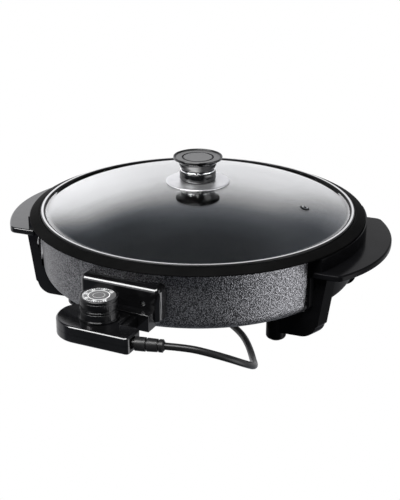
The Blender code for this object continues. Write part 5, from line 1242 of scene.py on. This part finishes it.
def make_knob():
    """From below: the chrome dish, the collar, the chrome band, the flared cup and the disc in it."""
    edge_z = dome_z(BEZEL_R) + SEAT_GAP
    high = GLASS_TOP_Z + SEAT_GAP + BEZEL_SHEET
    stud_r = SHANK_R + HOLE_GAP
    profile = [
        (stud_r, high),
        (BEZEL_SHOULDER_R, high, BEZEL_SHOULDER_EASE),
        (BEZEL_R - BEZEL_EDGE_HEIGHT, edge_z + BEZEL_EDGE_HEIGHT, BEZEL_EDGE_EASE),
        (BEZEL_R, edge_z + BEZEL_EDGE_HEIGHT / 2, BEZEL_RIM_EASE),
        (BEZEL_R, edge_z),
        (BEZEL_R - BEZEL_SHEET, edge_z),
        (BEZEL_SHOULDER_R, high - BEZEL_SHEET),
        (stud_r, high - BEZEL_SHEET),
    ]
    turned("knob_dish", profile, DISH_CHROME, ("lid", "chrome"), "lid_bezel", bends=6, closed=True)

    low = high + SEAT_GAP
    high = low + COLLAR_HEIGHT
    profile = [
        (stud_r, high),
        (COLLAR_R - COLLAR_ROUND / 4, high, COLLAR_ROUND),
        (COLLAR_R, high - COLLAR_ROUND, COLLAR_ROUND),
        (COLLAR_R, low, COLLAR_FOOT_EASE),
        (stud_r, low),
    ]
    turned("knob_foot", profile, KNOB_BLACK, ("lid", "knob_black"), "knob_collar", bends=8, closed=True)

    low = high + SEAT_GAP
    high = low + BAND_HEIGHT
    profile = [(stud_r, high), (BAND_R, high, BAND_EASE), (BAND_R, low, BAND_EASE), (stud_r, low)]
    turned("knob_ring", profile, CHROME, ("lid", "chrome"), "knob_band", bends=10, closed=True)

    low = high + SEAT_GAP
    high = low + CUP_HEIGHT
    face_z = high - CUP_FACE_DROP
    recess_z = face_z - CAP_THICKNESS - SEAT_GAP
    flare = CUP_RIM_R - CUP_BOTTOM_R
    side = [Vector((CUP_BOTTOM_R + flare * out, low + CUP_HEIGHT * up, 0)) for out, up in CUP_SIDE]
    side = [(p.x, p.y) for p in reversed(smooth_path(side, CUP_SIDE_POINTS))]
    groove_r = CAP_R + CAP_GROOVE
    rim_r = CUP_RIM_R - CUP_RIM_WIDTH
    profile = [
        (0, recess_z),
        (groove_r, recess_z),
        (groove_r, face_z, CUP_FACE_EASES[0]),
        (groove_r + FACE_SHADE_IN, face_z),
        (rim_r - FACE_SHADE_OUT, face_z),
        (rim_r - CUP_FACE_DROP / 2, face_z, CUP_FACE_EASES[1]),
        (rim_r, high, CUP_RIM_EASES[0]),
        (CUP_RIM_R - CUP_RIM_WIDTH / 4, high, CUP_RIM_EASES[1]),
        (CUP_RIM_R, high - CUP_RIM_WIDTH / 2, CUP_RIM_EASES[2]),
        *side,
        (stud_r, low),
        (stud_r, low + KNOB_SCREW_DEPTH),
        (0, low + KNOB_SCREW_DEPTH),
    ]

    def cup_paint(r, z):
        """Gloss on the sides and the rim's outer edge, satin on the face, and black painted as shade
        along both edges of the face: beside the groove round the disc and up the rim's inner wall.
        """
        if z < face_z - PAINT_SLACK or r > CUP_RIM_R - CUP_GLOSS_WIDTH:
            return 0
        return 1 if groove_r + FACE_SHADE_IN < r < rim_r - FACE_SHADE_OUT else 2

    finish = [KNOB_BLACK, SATIN, PAINTED_SHADE_BLACK]
    turned("knob_cup", profile, finish, ("lid", "knob_black"), "knob_body", bends=5, paint=cup_paint)

    # The disc is satin, with its outer edge painted black, a painted shade of the groove round it.
    def cap_paint(r, z):
        return 1 if r > CAP_R - CAP_SHADE_WIDTH else 0

    low = recess_z + SEAT_GAP
    profile = [(0, face_z), (CAP_R - CAP_SHADE_WIDTH, face_z), (CAP_R, face_z, CAP_EASE), (CAP_R, low), (0, low)]
    finish = [SATIN, PAINTED_SHADE_BLACK]
    turned("knob_disc", profile, finish, ("lid", "knob_black"), "knob_cap", bends=5, paint=cap_paint)


make_lid()
make_knob()


# Guard on the pan's wall


def make_guard():
    """The block on the wall and its shroud, hollowed for the nose, the pins and the probe."""
    inside = -PAN_WALL_R + BLOCK_REACH
    block = ((-BLOCK_HALF_WIDTH, inside, BLOCK_BOTTOM_Z), (BLOCK_HALF_WIDTH, BLOCK_FACE_Y, BLOCK_TOP_Z))
    guard = soften(boxes("guard", [block], SOCKET), BLOCK_ROUND, 8, profile=BLOCK_BULGE)
    inner = NOSE_HALF_WIDTH + SEAT_GAP
    inner_z = NOSE_HEIGHT / 2 + SEAT_GAP
    half = inner + SHROUD_SIDE
    half_z = inner_z + SHROUD_WALL
    z = PLUG_IN_Z
    shroud = ((-half, BLOCK_FACE_Y + BLOCK_REACH / 3, z - half_z), (half, SHROUD_END_Y, z + half_z))
    combine(guard, "UNION", soften(boxes("shroud", [shroud], SOCKET), SCREW_EDGE, 3))
    back = [(0, WALL_TOP_Z), (PAN_WALL_R + WALL_GAP, WALL_TOP_Z)]
    back += arc((CORNER_CENTRE_R, CORNER_CENTRE_Z), PAN_CORNER_R + WALL_GAP, 0, -math.pi / 2, 8)
    back += [(0, CORNER_CENTRE_Z - PAN_CORNER_R - WALL_GAP)]
    cut(guard, lathe("guard_back", back, FINE_STEPS, PAN))
    recess = ((-inner, WEB_FACE_Y, z - inner_z), (inner, SHROUD_END_Y - OVERRUN, z + inner_z))
    cut(guard, boxes("guard_recess", [recess], SOCKET))

    def holes(name, radius, xs, z, start, end):
        return rods(name, radius, [((x, start, z), (x, end, z)) for x in xs], SOCKET)

    pins = (-PIN_PITCH_HALF, PIN_PITCH_HALF)
    front = WEB_FACE_Y - OVERRUN
    pin_start = PAN_WALL_R + ELEMENT_END_REACH + SEAT_GAP
    cut(
        guard,
        holes("pin_holes", PIN_R + HOLE_GAP, pins, z, inside, front),
        holes("tube_pockets", ELEMENT_TUBE_R + 2 * HOLE_GAP, pins, z, inside, -pin_start),
        holes("probe_hole", PROBE_R + 2 * HOLE_GAP, [0], z, inside, front),
    )
    seat = BLOCK_FACE_Y + BLOCK_SCREW_SEAT
    well = (BLOCK_SCREW_Z, seat, BLOCK_FACE_Y - OVERRUN)
    cut(guard, holes("guard_wells", SMALL_HEAD_R + HOLE_GAP, (-BLOCK_SCREW_X, BLOCK_SCREW_X), *well))
    dress(smoothed(guard), BAKELITE, "base", "bakelite", "socket_block")
    face_in = spun(-math.pi / 2, "X")
    for side, k in SIDES:
        head = at(k * BLOCK_SCREW_X, seat - SEAT_GAP - SMALL_HEAD_HEIGHT, BLOCK_SCREW_Z)
        sizes = (SMALL_SCREW, BLOCK_SCREW_LENGTH, SOCKET @ head @ face_in)
        make_screw("guard_screw_" + side, "base", *sizes, "socket_screw_" + side)
    out = spun(math.pi / 2, "X")
    profile = [(0, PIN_LENGTH), (PIN_R, PIN_LENGTH, PIN_TIP_EASE), (PIN_R, 0), (0, 0)]
    for side, k in SIDES:
        matrix = SOCKET @ at(k * PIN_PITCH_HALF, -pin_start, PLUG_IN_Z) @ out
        shape = {"steps": SMALL_STEPS, "matrix": matrix, "bends": 6}
        stands_for = "terminal_pin_" + side
        turned("socket_pin_" + side, profile, PIN_STEEL, ("base", "steel"), stands_for, **shape)


make_guard()


# Controller


def rounded(corners, chord=1.2 * MM):
    """Corners (x, y, radius), counterclockwise, as an outline with an arc at each, hollow or full."""
    points = []
    for i, (x, y, radius) in enumerate(corners):
        here = Vector((x, y))
        before = (Vector(corners[i - 1][:2]) - here).normalized()
        after = (Vector(corners[(i + 1) % len(corners)][:2]) - here).normalized()
        half = before.angle(after) / 2
        centre = here + (before + after).normalized() * (radius / math.sin(half))
        start = here + before * (radius / math.tan(half)) - centre
        sweep = math.copysign(math.pi - 2 * half, after.cross(before))
        steps = 4 + round(radius / chord)
        for k in range(steps + 1):
            points.append(tuple(centre + Matrix.Rotation(sweep * k / steps, 2) @ start))
    return points


def controller_outline(inset):
    left = -CONTROLLER_LEFT + inset
    right = CONTROLLER_RIGHT - inset
    front = CONTROLLER_FRONT_Y + inset
    back = CONTROLLER_BACK_Y - inset
    step_x = CONTROLLER_STEP_X - inset
    step_y = CONTROLLER_STEP_Y - inset
    return rounded(
        [
            (left, front, CONTROLLER_LEFT_R - inset),
            (right, front, CONTROLLER_RIGHT_R - inset),
            (right, step_y, CONTROLLER_RIGHT_R - inset),
            (step_x, step_y, inset + CONTROLLER_ROUND),
            (step_x, back, CONTROLLER_RIGHT_R - inset),
            (left, back, CONTROLLER_LEFT_BACK_R - inset),
        ]
    )


def housing_screw_places():
    inset = HOUSING_SCREW_INSET
    left = -CONTROLLER_LEFT + inset
    return [
        (CONTROLLER_RIGHT - HOUSING_SCREW_RIGHT_INSET, (CONTROLLER_FRONT_Y + CONTROLLER_STEP_Y) / 2),
        (left + inset / 2, CONTROLLER_FRONT_Y + inset),
        (left, CONTROLLER_BACK_Y - inset),
    ]


def make_controller_half(name, upper):
    """One half of the housing: a shell with its nose, hollowed, bored and cut at the parting plane."""
    half = CONTROLLER_HEIGHT / 2
    shell = slab(name, controller_outline(0), -half, half, PROBE)
    soften(shell, CONTROLLER_EDGE, 8, profile=CONTROLLER_BULGE)
    low = (-NOSE_HALF_WIDTH, CONTROLLER_STEP_Y - CONTROLLER_WALL, -NOSE_HEIGHT / 2)
    high = (NOSE_HALF_WIDTH, NOSE_END_Y, NOSE_HEIGHT / 2)
    combine(shell, "UNION", soften(boxes(name + "_nose", [(low, high)], PROBE), SCREW_EDGE, 3))
    inner = half - CONTROLLER_WALL
    cut(shell, slab(name + "_hollow", controller_outline(CONTROLLER_WALL), -inner, inner, PROBE))
    reach = CONTROLLER_BACK_Y - CONTROLLER_WALL - OVERRUN
    end = NOSE_END_Y + OVERRUN
    pins = [((x, reach, 0), (x, end, 0)) for x in (-PIN_PITCH_HALF, PIN_PITCH_HALF)]
    neck = [((0, 0, -RELIEF_FLANGE_AT - OVERRUN), (0, 0, OVERRUN))]
    cut(
        shell,
        rods(name + "_sleeves", PIN_R + HOLE_GAP + SLEEVE_WALL + SEAT_GAP, pins, PROBE),
        rods(name + "_probe", PROBE_R + HOLE_GAP, [((0, reach, 0), (0, end, 0))], PROBE),
        rods(name + "_neck", RELIEF_NECK_R + HOLE_GAP, neck, RELIEF),
    )
    if upper:
        shaft = [((DIAL_X, DIAL_Y, 0), (DIAL_X, DIAL_Y, half + OVERRUN))]
        cut(shell, rods(name + "_shaft", SHAFT_R + HOLE_GAP, shaft, PROBE))
    else:
        seat = -half + HOUSING_SCREW_SEAT + SMALL_HEAD_HEIGHT
        wells = [((x, y, -half - OVERRUN), (x, y, seat)) for x, y in housing_screw_places()]
        cut(shell, rods(name + "_wells", SMALL_HEAD_R + HOLE_GAP, wells, PROBE))
    far = 2 * CONTROLLER_LEFT
    up = 1 if upper else -1
    away = ((-far, CONTROLLER_FRONT_Y - OVERRUN, -up * (half + OVERRUN)), (far, 0, up * SEAT_GAP / 2))
    cut(shell, boxes(name + "_away", [away], PROBE))
    stands_for = "controller_upper" if upper else "controller_lower"
    dress(smoothed(shell), CONTROLLER_BLACK, "controller", "bakelite", stands_for)


def make_controller():
    """Both halves of the housing, the screws that close it and the probe's rod."""
    make_controller_half("housing_top", True)
    make_controller_half("housing_bottom", False)
    head_z = -CONTROLLER_HEIGHT / 2 + HOUSING_SCREW_SEAT - SEAT_GAP
    for i, (x, y) in enumerate(housing_screw_places(), 1):
        sizes = (SMALL_SCREW, HOUSING_SCREW_LENGTH, PROBE @ at(x, y, head_z))
        make_screw(f"case_screw_{i}", "controller", *sizes, f"housing_screw_{i}")
    length = -WEB_FACE_Y - PROBE_REACH
    back = -(DIAL_Y + SWITCH_HALF_DEPTH + SEAT_GAP) - length
    rod = [(0, 0), (PROBE_R, 0, PROBE_TIP_EASE), (PROBE_R, -back), (0, -back)]
    matrix = PROBE @ at(0, -length, 0) @ spun(-math.pi / 2, "X")
    shape = {"steps": SMALL_STEPS, "matrix": matrix, "bends": 6}
    turned("probe_rod", rod, PIN_STEEL, ("controller", "steel"), "probe_tube", **shape)


def make_dial():
    """The dial with its ribs and teeth, the plate in its top, its print and the painted glint mark beside
    it.
    """
    low = CONTROLLER_HEIGHT / 2 + SEAT_GAP
    top = low + DIAL_HEIGHT
    face = top - DIAL_FACE_DROP
    recess = face - DIAL_PLATE_THICKNESS - SEAT_GAP
    plate_r = DIAL_PLATE_R + SEAT_GAP
    bore_r = SHAFT_R + HOLE_GAP
    bore_top = top - DIAL_BORE_TOP
    barrel = DIAL_R - DIAL_GROOVE / 3
    deep = DIAL_R - DIAL_GROOVE
    rim_low = top - DIAL_RIM_HEIGHT
    foot = low + DIAL_BASE_HEIGHT
    middle = foot + (rim_low - foot) / 2
    rib = DIAL_RIB
    radii = (DIAL_R, deep, barrel, deep, DIAL_R, deep, barrel, DIAL_R + DIAL_BASE_EXTRA)
    heights = (top, rim_low, rim_low - rib, middle + rib, middle, middle - rib, middle - 2 * rib)
    heights += (foot, low)
    side = [(r, z, DIAL_EASE) for r, *ends in zip(radii, heights, heights[1:]) for z in ends]
    side[0] = (DIAL_R, top, DIAL_BEVEL)
    profile = [(0, recess), (plate_r, recess), (plate_r, top, DIAL_PLATE_EASE), *side]
    profile += [(bore_r, low), (bore_r, bore_top), (0, bore_top)]

    def toothed(r, z, a):
        """Fine teeth above the dial's base, drawn in from its full radius."""
        if z <= foot + MM or r < DIAL_R - DIAL_TOOTH_BAND:
            return r
        return r - DIAL_TOOTH_DEPTH * (0.5 - 0.5 * math.cos(a * DIAL_TEETH))

    shape = {"steps": 4 * DIAL_TEETH, "matrix": DIAL, "bends": 3, "wobble": toothed}
    turned("dial_knob_body", profile, DIAL_BLACK, ("dial_knob", "knob_black"), "dial", **shape)
    low_face = face - DIAL_PLATE_THICKNESS
    disc = [(0, face), (DIAL_PLATE_R, face, DIAL_PLATE_EASE), (DIAL_PLATE_R, low_face), (0, low_face)]
    turned("dial_disc", disc, DIAL_GREY, ("dial_knob", "dial_grey"), "dial_plate", matrix=DIAL, bends=3)
    make_dial_print(face)
    make_glint_mark(low)


def make_dial_print(face):
    """Ticks, two rings and plain numbers, printed in white on the dial's plate."""

    def place(angle, inset):
        out = at(DIAL_PLATE_R - PRINT_MARGIN - inset, 0, face + PRINT_THICKNESS / 2)
        return spun(PRINT_START + angle) @ out

    bm = bmesh.new()
    for i in range(TICKS):
        length, width = TICK_SIZE if i % TICKS_PER_LABEL else LONG_TICK_SIZE
        size = Matrix.Diagonal((length, width, PRINT_THICKNESS, 1))
        bmesh.ops.create_cube(bm, size=1.0, matrix=place(i * TICK_TURN, length / 2) @ size)
    marks = from_bm("dial_ticks", bm, DIAL)
    high = face + PRINT_THICKNESS
    for name, r, width in PRINT_RINGS:
        line = [(r, high), (r + width, high), (r + width, face), (r, face)]
        dress(lathe(name, line, KNOB_STEPS, DIAL, closed=True), PRINT_WHITE, "dial_knob", "dial_grey")
    dress(marks, PRINT_WHITE, "dial_knob", "dial_grey")
    for i, label in enumerate(LABELS):
        text = bpy.data.curves.new("dial_text", "FONT")
        text.body = label
        text.size = LABEL_SIZE
        text.align_x = text.align_y = "CENTER"
        text.extrude = PRINT_THICKNESS / 2
        guide = add("dial_text", text)
        mesh = shown_mesh(guide)
        bpy.data.objects.remove(guide)
        at_label = place(i * TICKS_PER_LABEL * TICK_TURN, LABEL_INSET)
        mesh.transform(DIAL @ at_label @ spun(-math.pi / 2))
        dress(add(f"dial_number_{i + 1}", mesh), PRINT_WHITE, "dial_knob", "dial_grey")


def make_glint_mark(low):
    """A small white triangle on the housing beside the dial's foot, shaped as the mark the dial is read
    against and standing where a glint falls: a painted highlight.
    """
    top = low - SEAT_GAP
    outline = [(-GLINT_MARK_HALF_WIDTH, 0), (GLINT_MARK_HALF_WIDTH, 0), (0, GLINT_MARK_LENGTH)]
    place = spun(GLINT_MARK_TURN) @ at(0, -DIAL_R - GLINT_MARK_GAP, 0)
    mark = slab("glint_mark", outline, top, top + PRINT_THICKNESS, DIAL @ place)
    dress(mark, PRINT_WHITE, "controller", "dial_grey")


def make_relief():
    """The ribbed sleeve that keeps the cord from kinking: three ribs and a flange inside the housing."""
    rib = (RELIEF_LENGTH - RELIEF_START) * RELIEF_RIB_SHARE
    gap = RELIEF_GROOVE
    first = RELIEF_START + rib
    second = first + gap + rib
    slim = RELIEF_END_R - gap
    soft = RELIEF_EASE
    profile = [
        (0, RELIEF_LENGTH),
        (slim - gap / 2, RELIEF_LENGTH, soft),
        (slim, RELIEF_LENGTH - gap),
        (RELIEF_END_R, RELIEF_LENGTH - gap, soft),
        (RELIEF_END_R, second + gap, soft),
        (slim, second + gap),
        (slim, second),
        (RELIEF_END_R, second, soft),
        ((RELIEF_R + RELIEF_END_R) / 2, first + gap, soft),
        (slim, first + gap),
        (slim, first),
        (RELIEF_R, first, soft),
        (RELIEF_R, RELIEF_START, soft),
        (RELIEF_NECK_R, RELIEF_START),
        (RELIEF_NECK_R, -RELIEF_FLANGE_AT),
        (RELIEF_FLANGE_R, -RELIEF_FLANGE_AT),
        (RELIEF_FLANGE_R, -RELIEF_FLANGE_AT - RELIEF_FLANGE),
        (0, -RELIEF_FLANGE_AT - RELIEF_FLANGE),
    ]
    shape = {"steps": FOOT_STEPS, "matrix": RELIEF}
    turned("cord_sleeve", profile, RELIEF_BLACK, ("controller", "rubber"), "strain_relief", **shape)


make_controller()
make_dial()
make_relief()


# Solids that keep their own shape, with a finer finish

BRASS_NODES = ("dial_shaft", "contact_sleeve_left", "contact_sleeve_right")
BRASS_NODES += ("plug_blade_left", "plug_blade_right", "plug_earth_pin")
STEEL_NODES = ("knob_screw", "element_clip_1", "element_clip_2", "element_clip_3")
STEEL_NODES += ("clip_screw_1", "clip_screw_2", "clip_screw_3")
KEPT = (
    (ELEMENT_STEEL, ("heating_element",)),
    (CERAMIC, ("thermostat_switch",)),
    (RUBBER, ("knob_washer",)),
    (BRASS, BRASS_NODES),
    (SCREW_STEEL, STEEL_NODES),
)
for finish, names in KEPT:
    for name in names:
        for slot in NODES[name].material_slots:
            slot.material = finish


# Floor, light and background

BEHIND = (-0.3584, 0.9336, 0.0)
LEFTWARD = (-0.9336, -0.3584, 0.0)
FLOOR_BRIGHTNESS = 1.0
STUDIO_R = 6.0
STUDIO_WALL = 5.0
STUDIO_CORNER = 2.0
KEY_HEIGHT = 62 * DEG
KEY_DISTANCE = 2.2
KEY_LEFT = 1.3
KEY_SIZE = (3.0, 0.8)
KEY_POWER = 190.0

# Cards: brightness by elevation in degrees. The middle one gives way to those beside it, each over a
# span of the way to the left, which runs from -1 to 1. Heights run from -1 below to 1 above.
MIDDLE_CARD = ((-60, 0.3), (-15, 1.0), (3, 1.25), (11, 1.5), (19, 1.6), (26, 1.3), (32, 0.92), (37, 0.5))
MIDDLE_CARD += ((44, 0.24), (52, 0.1), (60, 0.07), (90, 0.05))
LEFT_CARD = ((-60, 0.3), (-15, 1.2), (3, 1.65), (12, 1.9), (20, 2.0), (27, 1.55), (32, 0.9), (37, 0.35))
LEFT_CARD += ((42, 0.15), (52, 0.08), (90, 0.05))
FAR_LEFT_CARD = ((-60, 0.3), (-15, 1.2), (3, 1.7), (12, 1.9), (19, 1.35), (24, 0.85), (29, 0.4))
FAR_LEFT_CARD += ((36, 0.12), (90, 0.05))
RIGHT_CARD = ((-60, 0.3), (-10, 0.95), (5, 1.05), (14, 0.85), (22, 0.65), (28, 0.45), (34, 0.25))
RIGHT_CARD += ((45, 0.2), (90, 0.06))
SIDE_CARDS = (((0.05, 0.25), LEFT_CARD), ((0.3, 0.42), FAR_LEFT_CARD), ((-0.16, -0.36), RIGHT_CARD))
FRONT_CARD = ((-90, 0.1), (-5, 0.18), (5, 0.08), (90, 0.05))
FRONT_TO_BACK = (-0.15, 0.15)

# Upright strips on the camera's side: where each starts, is full and ends. They fade in downwards
# over the first span of heights and upwards over the second.
STRIPS = ((0.6, 0.76, 0.92), (-0.86, -0.68, -0.5))
STRIP_HEIGHTS = ((-0.5, -0.62), (0.08, 0.25))
STRIP_LIGHT = 3.0

# Glows at the far right, under the horizon only, and at the far left
RIGHT_SPAN = (-0.6, -0.9)
RIGHT_HEIGHTS = (0.2, 0.0)
RIGHT_LIGHT = 5.6
LEFT_SPAN = (0.9, 1.0)
LEFT_LIGHT = 0.1

# Colours of the dim and of the bright parts
LIGHT_TINTS = ((0.05, (0.65, 0.71, 0.83)), (0.9, (0.79, 0.79, 0.81)))


def make_studio():
    """A white floor that turns up into a wall. It casts and mirrors nothing; glass shows the floor."""
    made = bpy.data.materials.new("studio_floor")
    made.use_nodes = True
    tree = made.node_tree
    tree.nodes.clear()
    glow = node(tree, "ShaderNodeEmission", {"Color": (1, 1, 1, 1), "Strength": FLOOR_BRIGHTNESS})
    node(tree, "ShaderNodeOutputMaterial", {"Surface": glow.outputs[0]})
    flat = STUDIO_R - STUDIO_CORNER
    ground = [(0, 0), (flat, 0)]
    wall = arc((flat, STUDIO_CORNER), STUDIO_CORNER, -math.pi / 2, 0, 16) + [(STUDIO_R, STUDIO_WALL)]
    for name, profile, through_glass in (("studio_floor", ground, True), ("studio_wall", wall, False)):
        shape = lathe(name, profile, 96, Matrix.Identity(4))
        shape.data.materials.append(made)
        shape.visible_glossy = shape.visible_diffuse = shape.visible_shadow = False
        shape.visible_transmission = through_glass


def make_world():
    """Soft cards round the object: bright behind it and low, dim overhead and on the camera's side."""
    world = bpy.data.worlds.new("studio")
    bpy.context.scene.world = world
    world.use_nodes = True
    tree = world.node_tree
    tree.nodes.clear()
    ray = node(tree, "ShaderNodeTexCoord").outputs["Generated"]
    height = node(tree, "ShaderNodeSeparateXYZ", {0: ray}).outputs["Z"]
    share = maths(tree, "MULTIPLY_ADD", maths(tree, "ARCSINE", height), 1 / math.pi, 0.5)
    behind = vectors(tree, "DOT_PRODUCT", ray, BEHIND, output="Value")
    leftward = vectors(tree, "DOT_PRODUCT", ray, LEFTWARD, output="Value")

    def step(value, start, end, high=1.0):
        return spread(tree, value, 0.0, high, start, end, "SMOOTHSTEP")

    def card(stops):
        scale = max(value for angle, value in stops)
        colours = [(angle / 180 + 0.5, grey(value / scale)) for angle, value in stops]
        return maths(tree, "MULTIPLY", blend(tree, share, *colours), scale)

    def mixed(factor, one, other):
        return node(tree, "ShaderNodeMix", {0: factor, 2: one, 3: other}, data_type="FLOAT").outputs[0]

    back = card(MIDDLE_CARD)
    for span, stops in SIDE_CARDS:
        back = mixed(step(leftward, *span), back, card(stops))
    strips = [
        maths(tree, "MULTIPLY", step(leftward, start, full), step(leftward, end, full, STRIP_LIGHT))
        for start, full, end in STRIPS
    ]
    ends = maths(tree, "ADD", *[step(height, *span) for span in STRIP_HEIGHTS])
    strips = maths(tree, "MULTIPLY", maths(tree, "ADD", *strips), ends)
    right = step(leftward, *RIGHT_SPAN, RIGHT_LIGHT)
    right = maths(tree, "MULTIPLY", right, step(height, *RIGHT_HEIGHTS))
    sides = maths(tree, "ADD", right, step(leftward, *LEFT_SPAN, LEFT_LIGHT))
    front = maths(tree, "ADD", maths(tree, "ADD", card(FRONT_CARD), strips), sides)
    light = mixed(step(behind, *FRONT_TO_BACK), front, back)
    inputs = {"Color": blend(tree, light, *LIGHT_TINTS), "Strength": light}
    glow = node(tree, "ShaderNodeBackground", inputs)
    node(tree, "ShaderNodeOutputWorld", {"Surface": glow.outputs[0]})


def make_key():
    """A long soft box high on the camera's side, which draws bright lines along upper edges."""
    data = bpy.data.lights.new("key", "AREA")
    data.shape = "RECTANGLE"
    data.size, data.size_y = KEY_SIZE
    data.energy = KEY_POWER
    lamp = add("key", data)
    across = Vector(LEFTWARD)
    way = Vector((0, 0, math.sin(KEY_HEIGHT))) - Vector(BEHIND) * math.cos(KEY_HEIGHT)
    axes = Matrix((across, way.cross(across), way)).transposed().to_4x4()
    lamp.matrix_world = at(*way * KEY_DISTANCE + across * KEY_LEFT) @ axes
    lamp.visible_camera = False


make_studio()
make_world()
make_key()
bpy.context.scene.view_settings.view_transform = "Standard"
